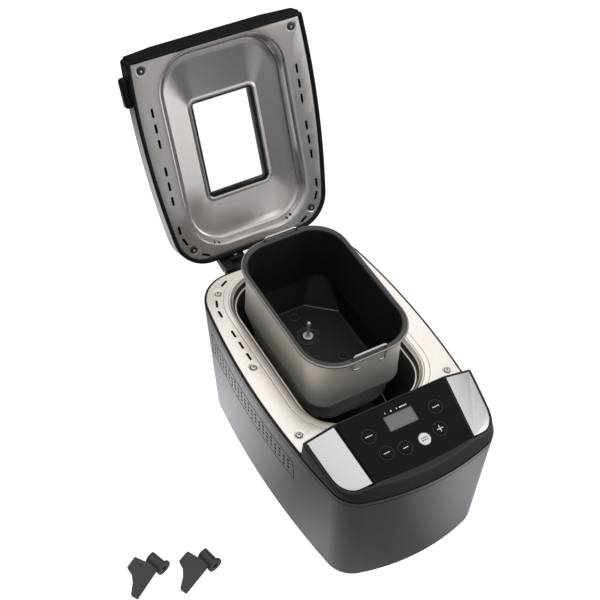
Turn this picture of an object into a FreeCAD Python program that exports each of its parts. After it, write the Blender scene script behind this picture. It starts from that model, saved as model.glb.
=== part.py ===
import FreeCAD, Part
import math
import os
import Sketcher
from types import SimpleNamespace

Vector = FreeCAD.Vector

# Driving dimensions of the bread machine, in millimetres and degrees.
# The origin is where the drive axis meets the worktop; X is right, Y is to the back, Z is up.
SIZES = {
    # Rubber feet and base plate
    "foot_height": 6,
    "foot_radius": 11,
    "foot_inset": 22.5,
    "foot_back_inset": 34,
    "foot_front_inset": 31,
    "base_sheet": 2.5,
    # Plan of the body at its top edge
    "top_bow_back": 17,
    "top_half_middle": 114,
    "top_bow_front": 16.5,
    "top_back": 100.3,
    # Plan of the body at its bottom edge
    "bottom_bow_back": 10,
    "bottom_draft": 6.3,
    "bottom_bow_front": 15.2,
    "back_lean": 30.3,
    # What both plans share
    "plan_middle": -72.4,
    "front_bow": 17.4,
    "plan_front": -260.4,
    "back_corner_radius": 45,
    "front_corner_radius": 34,
    # Casing and top deck
    "casing_wall": 2.2,
    "deck_top": 158,
    "deck_sheet": 1.2,
    "frame_height": 2.6,
    "frame_width": 25.5,
    "deck_inset": 2.6,
    "deck_width": 39,
    "deck_front": 16.3,
    "deck_back": 16.7,
    "opening_radius": 46,
    "lip_width": 6,
    "lip_drop": 5,
    "screw_head_radius": 3.4,
    "screw_shank_radius": 1.5,
    "screw_head_gap": 0.2,
    "screw_slot_half": 2,
    "screw_slot_width": 0.8,
    "screw_slot_depth": 0.7,
    "deck_screw_edge": 18.2,
    "deck_screw_behind": 31.5,
    "deck_screw_ahead": 23.8,
    # Slots that follow the deck opening and the lid dish
    "slot_length": 11.4,
    "slot_width": 3,
    "slot_edge": 20.5,
    "slot_arc": 50,
    "slot_arc_inset": 40.6,
    "slot_pitch": 18.6,
    "deck_slot_gap": 31.1,
    "lid_slot_gap": 35.4,
    "lid_slot_step": 71,
    # Side vents
    "vent_back_inset": 24,
    "vent_front_inset": 84.5,
    "vent_drop": 29,
    "vent_height": 29,
    "vent_slant": 3,
    "vent_hole_radius": 2,
    "vent_end_margin": 11,
    "vent_row_pitch": 6.6,
    "vent_rows": 3,
    "vent_columns": 22,
    # Baking chamber
    "chamber_gap": 3,
    "chamber_radius": 43,
    "chamber_wall": 1,
    "chamber_drop": 12,
    "chamber_floor": 27,
    "chamber_flange": 7,
    "chamber_back_lean": 19.6,
    "leg_radius": 6,
    "leg_inset": 23,
    "leg_front_gap": 34.4,
    "leg_back_gap": 22,
    "bore_gap": 0.2,
    "pan_clip_y": -74,
    "pan_clip_half": 8,
    "pan_clip_length": 32,
    "pan_clip_sheet": 1.2,
    "pan_clip_nose": 3.6,
    "pan_clip_drop": 2,
    # Heating element
    "element_radius": 3.3,
    "element_lift": 23,
    "element_wall_gap": 5.2,
    "element_front_gap": 36.4,
    "element_back_gap": 3,
    "element_bend": 38,
    "element_lead": 16,
    "element_lead_bend": 9,
    "element_clip_front": -70,
    "element_clip_back": 5,
    "element_clip_half": 4,
    "element_clip_wall": 1.7,
    "terminal_reach": 14,
    "terminal_wall": 1.9,
    "terminal_inside": 4,
    "terminal_gap": 0.1,
    "sensor_radius": 3,
    "sensor_gap": 0.3,
    "sensor_inside": 8,
    "sensor_flange_radius": 7,
    "sensor_flange": 3,
    "sensor_length": 12,
    "sensor_y": 20,
    "sensor_lift": 69,
    # Drive below the chamber
    "shaft_radius": 4,
    "running_gap": 0.05,
    "fit_gap": 0.03,
    "pulley_radius": 38,
    "pulley_height": 8,
    "pulley_lift": 3,
    "motor_pulley_radius": 8.5,
    "belt_thickness": 2.4,
    "belt_gap": 0.3,
    "belt_inset": 1.2,
    "housing_flange_radius": 24,
    "housing_radius": 9.5,
    "housing_rise": 6,
    "housing_flange": 3,
    "bush_length": 4,
    "bush_wall": 2,
    "dog_radius": 15,
    "dog_height": 7,
    "dog_lift": 0.5,
    "dog_sheet": 2.5,
    "prong_width": 6,
    "prong_edge": 1,
    "shaft_overhang": 1.5,
    "pulley_rim": 5,
    "pulley_web": 3,
    "pulley_hub_wall": 6,
    # Motor in the front compartment
    "motor_front": 40,
    "motor_radius": 31,
    "motor_height": 74,
    "motor_plate": 2.5,
    "motor_plate_half": 42,
    "motor_post_radius": 5,
    "motor_post_spread": 34,
    "motor_shaft_radius": 3,
    "motor_lift": 9,
    "motor_bevel": 4,
    "motor_bore_depth": 14,
    "motor_pulley_gap": 2,
    # Bread pan, raised above its seat
    "pan_lift": 70,
    "pan_rim_drop": 9,
    "pan_back_gap": 108.6,
    "pan_wall": 1.6,
    "pan_depth": 103,
    "pan_rim_side": 8,
    "pan_end_gap": 15.3,
    "pan_rim_radius": 42.4,
    "pan_rim_height": 4,
    "pan_rim_width": 7,
    "pan_rim_end": 8.2,
    "pan_mouth_radius": 36,
    "pan_crease_depth": 78,
    "pan_draft": 3,
    "pan_end_draft": 4.5,
    "pan_crease_radius": 33,
    "pan_floor_draft": 4.3,
    "pan_floor_back_end": 20,
    "pan_floor_front_end": 10,
    "pan_floor_chamfer_x": 33,
    "pan_floor_chamfer_y": 28,
    "pan_foot_y": -9.1,
    "pan_foot_radius": 48,
    "pan_foot_wall": 1.6,
    "pan_foot_flange": 7,
    "pan_foot_sheet": 1.4,
    "pan_foot_lift": 0.5,
    "seat_height": 8,
    "seat_gap": 0.6,
    "rivet_radius": 1.8,
    "rivet_head_radius": 3.6,
    "rivet_head_height": 1.2,
    "rivet_circle": 42.1,
    # Kneading spindle in the pan
    "spindle_radius": 2.5,
    "spindle_rise": 25,
    "spindle_tip_height": 3,
    "spindle_groove": 0.6,
    "spindle_groove_width": 1.5,
    "spindle_point": 1,
    "pan_bearing_radius": 5,
    "pan_bearing_flange": 10,
    "pan_bearing_drop": 3,
    "washer_radius": 6.4,
    "washer_thickness": 0.9,
    "wing_length": 25,
    "wing_width": 5,
    "wing_height": 3.5,
    "wing_gap": 0.6,
    "wing_hub_wall": 2.5,
    # Wire handles of the pan
    "grip_wire_radius": 1.5,
    "grip_half": 21,
    "grip_rise": 5,
    "grip_drop": 18,
    "grip_gap": 0.35,
    "grip_hook": 8,
    "grip_bend": 4,
    "grip_edge": 3.4,
    # Lid, described as if closed
    "lid_open_angle": 114.5,
    "hinge_behind": 10.8,
    "hinge_drop": 10.9,
    "lid_gap": 1,
    "lid_panel_gap": 3.7,
    "lid_back_inset": 1.7,
    "lid_back_slope": 48,
    "lid_back_fall": 0.3,
    "lid_crown_drop": 0.4,
    "lid_boss_radius": 4,
    "lid_boss_depth": 8,
    "lid_head_height": 0.7,
    "lid_seam": 0.3,
    "panel_edge_gap": 0.1,
    "lid_bow_back": 16.5,
    "lid_bow_front": 2.8,
    "lid_front_radius": 4,
    "lid_back_radius": 44,
    "lid_wall": 2.4,
    "lid_sheet": 0.8,
    "gasket_height": 1.2,
    "gasket_width": 4.6,
    "dish_edge": 35,
    "dish_front_edge": 7.6,
    "dish_back_edge": 16,
    "dish_radius": 46,
    "dish_depth": 20,
    "dish_slope": 13,
    "window_side": 39,
    "window_ahead": 64.2,
    "window_behind": 55.5,
    "window_radius": 6,
    "window_frame_width": 8,
    "pane_lap": 4,
    "pane_thickness": 3,
    "pane_lift": 0.8,
    "pane_gap": 0.1,
    "sight_inset": 1.5,
    "aperture_inset": 4.5,
    "front_trim": 2.3,
    "lid_screw_edge": 14.8,
    "tab_start": 18.6,
    "tab_length": 35,
    "tab_proud": 6.5,
    "tab_corner": 5,
    "tab_low": 6,
    "tab_high": 18,
    # Lid hinges
    "knuckle_radius": 6,
    "pin_radius": 2.2,
    "lid_knuckle_inner": 41.3,
    "lid_knuckle_outer": 53,
    "body_knuckle_inner": 29,
    "body_knuckle_outer": 41,
    # Control panel
    "panel_depth": 91.7,
    "panel_crown": 31.4,
    "panel_edge": 23,
    "panel_edge_inset": 10,
    "panel_kink_back": 70.2,
    "panel_kink_front": 62.9,
    "panel_reach": 70.8,
    "panel_tilt": 14.64,
    "bezel_wall": 2.4,
    "bezel_seam": 0.7,
    "bezel_front_draft": 25,
    "bezel_corner_draft": 20,
    "bezel_side_draft": 2,
    "bezel_corner_spread": 2,
    "bezel_loft_height": 40,
    "fascia_sheet": 1,
    "plate_sheet": 0.8,
    "plate_inset": 1.6,
    "panel_gap": 0.35,
    "panel_margin": 0.8,
    "lcd_half": 17.7,
    "lcd_length": 17.5,
    "lcd_y": -24.4,
    "button_outer_x": 42.2,
    "button_outer_y": -27.7,
    "button_middle_x": 33.5,
    "button_middle_y": -51.6,
    "button_inner_x": 12,
    "button_inner_y": -54.8,
    "button_radius": 7,
    "button_proud": 0.4,
    "button_travel": 0.8,
    "button_gap": 0.3,
    "board_depth": 7,
    "board_sheet": 1.6,
    "board_half": 54,
    "board_length": 66,
    "board_back": 8,
    "board_post_radius": 3,
    "board_post_edge": 6,
    "switch_gap": 0.15,
    "button_depth": 5,
    "button_flange": 1.2,
    "button_flange_gap": 0.25,
    "button_edge": 0.3,
    # Power board and mains gland
    "power_board_width": 34,
    "power_board_inset": 8.5,
    "power_board_ahead": 19,
    "power_board_length": 60,
    "power_post": 5,
    "power_post_radius": 3,
    "power_post_edge": 4,
    "relay_height": 14,
    "choke_height": 18,
    "can_radius": 5,
    "can_height": 20,
    "gland_radius": 8,
    "gland_side": 38,
    "gland_height": 32,
    # Loose kneading paddles
    "paddle_hub_radius": 6.5,
    "paddle_hub_length": 22,
    "paddle_flange_radius": 9,
    "paddle_blade": 4.5,
    "paddle_reach": 46,
    "paddle_flange": 3,
    "paddle_corner": 1.5,
    "paddle_bore_gap": 0.35,
    "paddle_left_x": -268.7,
    "paddle_left_y": -123.6,
    "paddle_left_turn": -69.2,
    "paddle_right_x": -214.7,
    "paddle_right_y": -146.6,
    "paddle_right_turn": -75.6,
}

doc = FreeCAD.newDocument("bread_machine")
sheet = doc.addObject("Spreadsheet::Sheet", "Sizes")
for row, (alias, number) in enumerate(SIZES.items(), start=1):
    sheet.set(f"A{row}", alias)
    sheet.set(f"B{row}", str(number))
    sheet.setAlias(f"B{row}", alias)
doc.recompute()


class Size:
    """A length: its number, and the expression that gives it from the sheet."""

    def __init__(self, number, text):
        self.number = number
        self.text = text

    def __add__(self, other):
        other = size(other)
        return Size(self.number + other.number, f"({self.text} + {other.text})")

    def __sub__(self, other):
        other = size(other)
        return Size(self.number - other.number, f"({self.text} - {other.text})")

    def __rsub__(self, other):
        return size(other) - self

    def __mul__(self, other):
        other = size(other)
        return Size(self.number * other.number, f"({self.text} * {other.text})")

    def __truediv__(self, other):
        other = size(other)
        return Size(self.number / other.number, f"({self.text} / {other.text})")

    def __neg__(self):
        return Size(-self.number, f"(-{self.text})")

    __radd__ = __add__
    __rmul__ = __mul__


def size(value):
    """Any value as a Size."""
    return value if isinstance(value, Size) else Size(float(value), str(float(value)))


def num(value):
    """Any value as a plain number."""
    return size(value).number


s = SimpleNamespace(**{alias: Size(float(sheet.get(alias)), f"Sizes.{alias}") for alias in SIZES})

# Places and widths that follow from the driving dimensions
s.top_half_back = s.top_half_middle - s.top_bow_back
s.top_half_front = s.top_half_middle - s.top_bow_front
s.bottom_half_middle = s.top_half_middle - s.bottom_draft
s.bottom_half_back = s.bottom_half_middle - s.bottom_bow_back
s.bottom_half_front = s.bottom_half_middle - s.bottom_bow_front
s.bottom_back = s.top_back - s.back_lean
s.plan_corner = s.plan_front + s.front_bow
s.foot_side = s.bottom_half_front - s.foot_inset
s.foot_back = s.bottom_back - s.foot_back_inset
s.foot_front = s.plan_corner + s.foot_front_inset
s.bezel_back = s.plan_front + s.panel_depth
s.opening_half = s.top_half_middle - s.deck_width
s.opening_front = s.bezel_back + s.deck_front
s.opening_back = s.top_back - s.deck_back
s.deck_screw_middle = s.plan_middle + s.deck_screw_behind
s.deck_screw_front = s.bezel_back + s.deck_screw_ahead
s.slot_arc_y = s.opening_back - s.slot_arc_inset
s.deck_slot_first = s.slot_arc_y - s.deck_slot_gap
s.lid_slot_first = s.slot_arc_y - s.lid_slot_gap
s.lid_slot_second = s.lid_slot_first - s.lid_slot_step
s.vent_back = s.bottom_back - s.vent_back_inset
s.vent_front = s.plan_corner + s.vent_front_inset
s.vent_top = s.deck_top - s.vent_drop
s.chamber_top = s.deck_top - s.chamber_drop
s.chamber_floor_back = s.opening_back - s.chamber_back_lean
s.leg_side = s.opening_half - s.leg_inset
s.leg_front = s.opening_front + s.leg_front_gap
s.leg_back = s.chamber_floor_back - s.leg_back_gap
s.element_height = s.chamber_floor + s.element_lift
s.element_front = s.opening_front + s.element_front_gap
s.element_back = s.chamber_floor_back - s.element_back_gap
s.sensor_height = s.chamber_floor + s.sensor_lift
s.motor_y = s.plan_corner + s.motor_front
s.pan_seated_rim = s.deck_top - s.pan_rim_drop
s.pan_y = s.opening_back - s.pan_back_gap
s.pan_rim_half = s.opening_half - s.pan_rim_side
s.pan_rim_half_length = (s.opening_back - s.opening_front) / 2 - s.pan_end_gap
s.pan_mouth_half = s.pan_rim_half - s.pan_rim_width
s.pan_mouth_half_length = s.pan_rim_half_length - s.pan_rim_end
s.pan_crease_half = s.pan_mouth_half - s.pan_draft
s.pan_crease_half_length = s.pan_mouth_half_length - s.pan_end_draft
s.pan_floor_half = s.pan_crease_half - s.pan_floor_draft
s.pan_floor_front = s.pan_y - s.pan_crease_half_length + s.pan_floor_front_end
s.pan_floor_back = s.pan_y + s.pan_crease_half_length - s.pan_floor_back_end
s.grip_offset = s.pan_rim_half_length - s.grip_edge
s.hinge_y = s.top_back + s.hinge_behind
s.hinge_z = s.deck_top - s.hinge_drop
s.lid_front = s.bezel_back + s.lid_panel_gap
s.lid_back = s.top_back - s.lid_back_inset
s.lid_half_back = s.top_half_middle - s.lid_bow_back
s.lid_half_front = s.top_half_middle - s.lid_bow_front
s.gasket_inner = s.lid_seam + s.gasket_width
s.dish_half = s.top_half_middle - s.dish_edge
s.dish_front = s.lid_front + s.dish_front_edge
s.dish_back = s.lid_back - s.dish_back_edge
s.window_half = s.dish_half - s.window_side
s.window_front = s.dish_front + s.window_ahead
s.window_back = s.dish_back - s.window_behind
s.pane_half = s.window_half + s.pane_lap
s.lid_screw_front = s.lid_front + s.lid_screw_edge
s.tab_front = s.lid_front + s.tab_start
s.tab_back = s.tab_front + s.tab_length
s.panel_edge_half = s.top_half_middle - s.panel_edge_inset
s.power_board_right = s.bottom_half_front - s.power_board_inset
s.power_board_left = s.power_board_right - s.power_board_width
s.power_board_front = s.plan_corner + s.power_board_ahead
s.power_board_back = s.power_board_front + s.power_board_length

NODES = []


def node(piece, label):
    """Names a finished sub-part."""
    piece.Label = label
    NODES.append(piece)
    return piece


def feature(label, shape, placement=None):
    """A finished sub-part with a computed shape, then put in its place."""
    piece = doc.addObject("Part::Feature", label)
    piece.Shape = shape
    if placement:
        piece.Placement = placement
    return node(piece, label)


def bind(piece, prop, value):
    piece.setExpression(prop, size(value).text)


def point(x, y, z=0):
    return Vector(num(x), num(y), num(z))


# Parametric primitives and booleans


def block(name, x, y, z):
    """A box from its low and high values on each axis."""
    box = doc.addObject("Part::Box", name)
    for prop, axis, (low, high) in zip(("Length", "Width", "Height"), "xyz", (x, y, z)):
        bind(box, prop, size(high) - low)
        bind(box, "Placement.Base." + axis, low)
    return box


def rod(name, radius, start, length, axis="z"):
    """A cylinder from its start point along +X, +Y or +Z."""
    turn = {"x": (Vector(0, 1, 0), 90), "y": (Vector(1, 0, 0), -90), "z": (Vector(0, 0, 1), 0)}[axis]
    cylinder = doc.addObject("Part::Cylinder", name)
    cylinder.Placement = FreeCAD.Placement(Vector(), FreeCAD.Rotation(*turn))
    bind(cylinder, "Radius", radius)
    bind(cylinder, "Height", length)
    for letter, value in zip("xyz", start):
        bind(cylinder, "Placement.Base." + letter, value)
    return cylinder


def join(name, pieces):
    fused = doc.addObject("Part::MultiFuse", name)
    fused.Shapes = pieces
    fused.Refine = True
    return fused


def cut(name, base, tools):
    result = doc.addObject("Part::Cut", name)
    result.Base = base
    result.Tool = tools[0] if len(tools) == 1 else join(name + "_tools", tools)
    return result


def group(name, pieces):
    """Separate solids that share one sub-part."""
    compound = doc.addObject("Part::Compound", name)
    compound.Links = pieces
    return compound


# Sketched bodies


def origin_plane(body, role):
    return [part for part in body.Origin.OriginFeatures if part.Role == role][0]


def sketch_on(body, role, name):
    sketch = body.newObject("Sketcher::SketchObject", name)
    sketch.AttachmentSupport = [(origin_plane(body, role), "")]
    sketch.MapMode = "FlatFace"
    return sketch


def draw_polygon(sketch, corners):
    """A closed polygon whose corners are bound to the sheet."""
    first = sketch.GeometryCount
    count = len(corners)
    for index, (across, along) in enumerate(corners):
        ahead = corners[(index + 1) % count]
        sketch.addGeometry(Part.LineSegment(point(across, along), point(*ahead)), False)
    for index in range(count):
        joint = Sketcher.Constraint("Coincident", first + index, 2, first + (index + 1) % count, 1)
        sketch.addConstraint(joint)
    for index, corner in enumerate(corners):
        for kind, axis, value in zip(("DistanceX", "DistanceY"), (-2, -1), corner):
            if num(value) == 0:
                sketch.addConstraint(Sketcher.Constraint("PointOnObject", first + index, 1, axis))
                continue
            fixed = sketch.addConstraint(Sketcher.Constraint(kind, -1, 1, first + index, 1, num(value)))
            name = f"{kind}{first + index}"
            sketch.renameConstraint(fixed, name)
            bind(sketch, "Constraints." + name, value)


def new_body(name, place=(0, 0, 0), turn=None):
    """An empty body, turned and then put in its place."""
    body = doc.addObject("PartDesign::Body", name)
    if turn:
        body.Placement = FreeCAD.Placement(Vector(), turn)
    for letter, value in zip("xyz", place):
        bind(body, "Placement.Base." + letter, value)
    return body


def turned(name, profile, place=(0, 0, 0), turn=None):
    """A body turned about its own Z axis from a profile of radius and height."""
    body = new_body(name, place, turn)
    sketch = sketch_on(body, "XZ_Plane", name + "_profile")
    draw_polygon(sketch, profile)
    revolution = body.newObject("PartDesign::Revolution", name + "_turn")
    revolution.Profile = sketch
    revolution.ReferenceAxis = (sketch, ["V_Axis"])
    revolution.Angle = 360
    return body


def ring_profile(inner, outer, low, high):
    return [(inner, low), (outer, low), (outer, high), (inner, high)]


# Outlines and lofted shells


def vertical_edges(solid, test):
    """Upright edges whose place passes a test."""
    found = []
    for edge in solid.Edges:
        ends = [vertex.Point for vertex in edge.Vertexes]
        if len(ends) == 2 and abs(ends[0].z - ends[1].z) > 0.5 and test(ends[0]):
            found.append(edge)
    return found


def bowed_wire(plan, inset, z):
    """The plan outline with bowed sides and rounded corners, drawn in by inset, at height z."""
    back = num(plan.back - inset)
    corner = num(plan.corner + inset)
    halves = [num(half - inset) for half in (plan.half_back, plan.half_middle, plan.half_front)]
    left = [point(-x, y, z) for x, y in zip(halves, (back, plan.middle, corner))]
    right = [point(x, y, z) for x, y in zip(halves, (back, plan.middle, corner))]
    front = point(0, plan.front + inset, z)
    if abs(front.y - corner) < 0.01:
        front_edge = Part.makeLine(left[2], right[2])
    else:
        front_edge = Part.Arc(left[2], front, right[2]).toShape()
    edges = [
        Part.makeLine(right[0], left[0]),
        Part.Arc(*left).toShape(),
        front_edge,
        Part.Arc(right[2], right[1], right[0]).toShape(),
    ]
    slab = Part.Face(Part.Wire(edges)).extrude(Vector(0, 0, 1))
    back_edges = vertical_edges(slab, lambda end: end.y > back - 0.1)
    slab = slab.makeFillet(num(plan.back_radius - inset), back_edges)
    front_edges = vertical_edges(slab, lambda end: abs(end.y - corner) < 0.1)
    slab = slab.makeFillet(max(num(plan.front_radius - inset), 1), front_edges)
    floor = [face for face in slab.Faces if abs(face.CenterOfMass.z - num(z)) < 0.001][0]
    return floor.OuterWire


def cornered_wire(half, front, back, corner_x, corner_y, z, rounded=True):
    """A rectangle, symmetric in X, with rounded or cut corners."""
    edges = []
    half, front, back, reach_x, reach_y = (num(v) for v in (half, front, back, corner_x, corner_y))
    corners = ((1, back), (-1, back), (-1, front), (1, front))
    spans = []
    for side, y in corners:
        toward = -1 if y == back else 1
        flank = point(side * half, y + toward * reach_y, z)
        end = point(side * (half - reach_x), y, z)
        centre = point(side * (half - reach_x), y + toward * reach_y, z)
        middle = centre + Vector(side * reach_x, -toward * reach_y, 0) * math.sqrt(0.5)
        first_is_flank = (side > 0) == (y == back)
        spans.append((flank, middle, end) if first_is_flank else (end, middle, flank))
    for index, (start, middle, end) in enumerate(spans):
        edges.append(Part.Arc(start, middle, end).toShape() if rounded else Part.makeLine(start, end))
        edges.append(Part.makeLine(end, spans[(index + 1) % 4][0]))
    return Part.Wire(edges)


def rounded_wire(half, front, back, radius, z):
    return cornered_wire(half, front, back, radius, radius, z)


def prism(wire, height):
    return Part.Face(wire).extrude(Vector(0, 0, num(height)))


def loft(wires):
    return Part.makeLoft(wires, True, True)


def column(radius, x, y, low, high):
    return Part.makeCylinder(num(radius), num(size(high) - low), point(x, y, low))


def span_box(x, y, z):
    """A plain box shape from its low and high values on each axis."""
    low = point(x[0], y[0], z[0])
    high = point(x[1], y[1], z[1])
    return Part.makeBox(high.x - low.x, high.y - low.y, high.z - low.z, low)


def below_plane(height_at, bottom):
    """Everything from a flat bottom up to the sloped plane that height_at describes."""
    reach = 400
    corners = [(-reach, -reach), (reach, -reach), (reach, reach), (-reach, reach)]
    low = Part.makePolygon([point(x, y, bottom) for x, y in corners + corners[:1]])
    high = Part.makePolygon([point(x, y, height_at(x, y)) for x, y in corners + corners[:1]])
    return loft([low, high])


def bent_path(points, bends):
    """Straight runs joined by tangent arcs, one radius for each corner."""
    edges = []
    start = points[0]
    for before, corner, after, bend in zip(points, points[1:], points[2:], bends):
        into = (corner - before).normalize()
        out = (after - corner).normalize()
        half_turn = into.getAngle(out) / 2
        trim = bend * math.tan(half_turn)
        toward = (out - into).normalize()
        middle = corner + toward * (bend / math.cos(half_turn) - bend)
        edges.append(Part.makeLine(start, corner - into * trim))
        edges.append(Part.Arc(corner - into * trim, middle, corner + out * trim).toShape())
        start = corner + out * trim
    edges.append(Part.makeLine(start, points[-1]))
    return Part.Wire(edges)


def bent_rod(points, bends, radius):
    """A round wire or tube that follows a bent path."""
    circle = Part.makeCircle(num(radius), points[0], points[1] - points[0])
    return bent_path(points, bends).makePipeShell([Part.Wire([circle])], True, False)


# Heights and places that several sub-parts share
base_top = s.foot_height + s.base_sheet
frame_top = s.deck_top - s.deck_sheet
casing_top = frame_top - s.frame_height
chamber_half = s.opening_half - s.chamber_gap
chamber_front = s.opening_front + s.chamber_gap
chamber_back = s.opening_back - s.chamber_gap
floor_under = s.chamber_floor - s.chamber_wall
pulley_low = base_top + s.pulley_lift
pulley_high = pulley_low + s.pulley_height
pan_rim = s.pan_seated_rim + s.pan_lift
pan_inside = pan_rim - s.pan_depth
pan_under = pan_inside - s.pan_wall
crown_z = s.deck_top + s.panel_crown
lid_low = s.deck_top + s.lid_gap
housing_top = s.chamber_floor + s.housing_rise
dog_low = housing_top + s.dog_lift
motor_low = pulley_high + s.motor_lift
element_half = chamber_half - s.element_wall_gap - s.element_radius
slot_side = s.top_half_middle - s.slot_edge
lid_crown_z = crown_z - s.lid_crown_drop

top_plan = SimpleNamespace(
    half_back=s.top_half_back,
    half_middle=s.top_half_middle,
    half_front=s.top_half_front,
    back=s.top_back,
    middle=s.plan_middle,
    corner=s.plan_corner,
    front=s.plan_front,
    back_radius=s.back_corner_radius,
    front_radius=s.front_corner_radius,
)
bottom_plan = SimpleNamespace(**vars(top_plan))
bottom_plan.half_back = s.bottom_half_back
bottom_plan.half_middle = s.bottom_half_middle
bottom_plan.half_front = s.bottom_half_front
bottom_plan.back = s.bottom_back
lid_plan = SimpleNamespace(
    half_back=s.lid_half_back,
    half_middle=s.top_half_middle,
    half_front=s.lid_half_front,
    back=s.lid_back,
    middle=s.plan_middle,
    corner=s.lid_front,
    front=s.lid_front,
    back_radius=s.lid_back_radius,
    front_radius=s.lid_front_radius,
)


def mirrored(points):
    """Places on the right, and the same on the left."""
    return [(side * num(x), y) for x, y in points for side in (1, -1)]


def slot_row(first):
    """Three slots in a straight row from the first one forward."""
    return [first - s.slot_pitch * index for index in range(3)]


def slot_places(rows):
    """Centre and direction of each slot: straight rows, then three round the back corner."""
    places = [(num(slot_side), num(y), 90) for y in rows]
    corner_x = num(slot_side - s.slot_arc)
    for angle in (3, 22, 61):
        turn = math.radians(angle)
        reach = num(s.slot_arc)
        x = corner_x + reach * math.cos(turn)
        y = num(s.slot_arc_y) + reach * math.sin(turn)
        places.append((x, y, angle + 90))
    return places + [(-x, y, 180 - angle) for x, y, angle in places]


def slot_cutters(rows, low, high):
    """Round-ended cutters for the air slots."""
    cutters = []
    radius = num(s.slot_width) / 2
    straight = num(s.slot_length - s.slot_width)
    for x, y, angle in slot_places(rows):
        bar = span_box((-straight / 2, straight / 2), (-radius, radius), (low, high))
        ends = [column(radius, end * straight / 2, 0, low, high) for end in (1, -1)]
        cutter = bar.fuse(ends)
        cutter.Placement = FreeCAD.Placement(point(x, y), FreeCAD.Rotation(Vector(0, 0, 1), angle))
        cutters.append(cutter)
    return cutters


def corner_screw():
    """Place of the screw that sits between the slots of the back corner."""
    turn = math.radians(41)
    x = num(slot_side - s.slot_arc) + num(s.slot_arc) * math.cos(turn)
    return x, num(s.slot_arc_y) + num(s.slot_arc) * math.sin(turn)


shank_bore = s.screw_shank_radius + s.fit_gap


def screw_slot(x, y, low, high):
    """The driver slot across a screw head."""
    half = s.screw_slot_half
    width = s.screw_slot_width * 0.5
    return span_box((x - half, x + half), (y - width, y + width), (low, high))


# Casing, feet, base plate and mains gland


def make_feet():
    places = [(side, y) for side in (s.foot_side, -s.foot_side) for y in (s.foot_back, s.foot_front)]
    feet = []
    for index, (x, y) in enumerate(places):
        profile = [(0, 0), (s.foot_radius - 1.5, 0), (s.foot_radius, 1.5), (s.foot_radius - 1, s.foot_height)]
        profile.append((0, s.foot_height))
        feet.append(turned(f"foot_{index}", profile, (x, y, 0)))
    node(group("feet", feet), "rubber_feet")


def make_base():
    plate = prism(bowed_wire(bottom_plan, s.casing_wall + 0.4, s.foot_height), s.base_sheet)
    posts = []
    edge = s.power_post_edge
    for x in (s.power_board_left + edge, s.power_board_right - edge):
        for y in (s.power_board_front + edge, s.power_board_back - edge):
            posts.append(column(s.power_post_radius, x, y, base_top, base_top + s.power_post))
    feature("base_plate", plate.fuse(posts).removeSplitter())


def casing_at(inset, low, high):
    """The tapered body between two heights, drawn in by inset."""
    return loft([bowed_wire(bottom_plan, inset, low), bowed_wire(top_plan, inset, high)])


def vent_panel(side, shrink):
    """A slanted strip through one side wall."""
    top = num(s.vent_top) - shrink
    bottom = num(s.vent_top - s.vent_height) + shrink
    back = num(s.vent_back) - shrink
    front = num(s.vent_front) + shrink
    slant = num(s.vent_slant)
    outline = [(back, top), (front + slant, top), (front, bottom), (back - slant, bottom)]
    inner = num(s.bottom_half_back) - 25
    polygon = Part.makePolygon([point(side * inner, y, z) for y, z in outline + outline[:1]])
    return Part.Face(polygon).extrude(Vector(side * 60, 0, 0))


def vent_holes(side):
    """Columns of small round openings, every other column half a row lower."""
    rows = int(num(s.vent_rows))
    columns = int(num(s.vent_columns))
    rise = num(s.vent_row_pitch)
    middle = num(s.vent_top - s.vent_height / 2)
    first = num(s.vent_front + s.vent_end_margin)
    pitch = num(s.vent_back - s.vent_front - s.vent_end_margin * 2) / (columns - 1)
    holes = []
    for column_index in range(columns):
        shift = rise / 4 if column_index % 2 == 0 else -rise / 4
        for row in range(rows):
            z = middle + shift + rise * (row - (rows - 1) / 2)
            start = point(side * 80, first + pitch * column_index, z)
            holes.append(Part.makeCylinder(num(s.vent_hole_radius), 45, start, Vector(side, 0, 0)))
    return holes


def wall_lean():
    """How far the back wall leans from upright, in degrees."""
    return math.degrees(math.atan2(num(s.top_back - s.bottom_back), num(casing_top - s.foot_height)))


def back_wall_y(z):
    """Where the outside of the leaning back wall is at a height."""
    share = (size(z) - s.foot_height) / (casing_top - s.foot_height)
    return s.bottom_back + share * (s.top_back - s.bottom_back)


def gland_place():
    return s.gland_side, back_wall_y(s.gland_height), s.gland_height


def gland_turn():
    """Z along the outward normal of the back wall."""
    return FreeCAD.Rotation(Vector(1, 0, 0), -90 - wall_lean())


def make_casing():
    wall = casing_at(0, s.foot_height, casing_top).cut(casing_at(s.casing_wall, s.foot_height, casing_top))
    gland_hole = column(s.gland_radius + 0.1, 0, 0, -8, 8)
    gland_hole.Placement = FreeCAD.Placement(point(*gland_place()), gland_turn())
    shell = wall.cut([vent_panel(side, 0) for side in (1, -1)] + [gland_hole])
    feature("outer_casing", shell)
    grilles = [wall.common(vent_panel(side, num(s.panel_gap))).cut(vent_holes(side)) for side in (1, -1)]
    feature("vent_grilles", Part.makeCompound(grilles))


def make_gland():
    lip = s.gland_radius + 3
    inside = -s.casing_wall - 0.1
    profile = [
        (s.gland_radius - 4, inside - 4),
        (s.gland_radius + 1.5, inside - 4),
        (s.gland_radius + 1.5, inside),
        (s.gland_radius, inside),
        (s.gland_radius, 0.1),
        (lip, 0.1),
        (lip - 1, 3),
        (s.gland_radius - 4, 3),
    ]
    node(turned("gland", profile, gland_place(), gland_turn()), "mains_gland")


# Top deck


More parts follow.
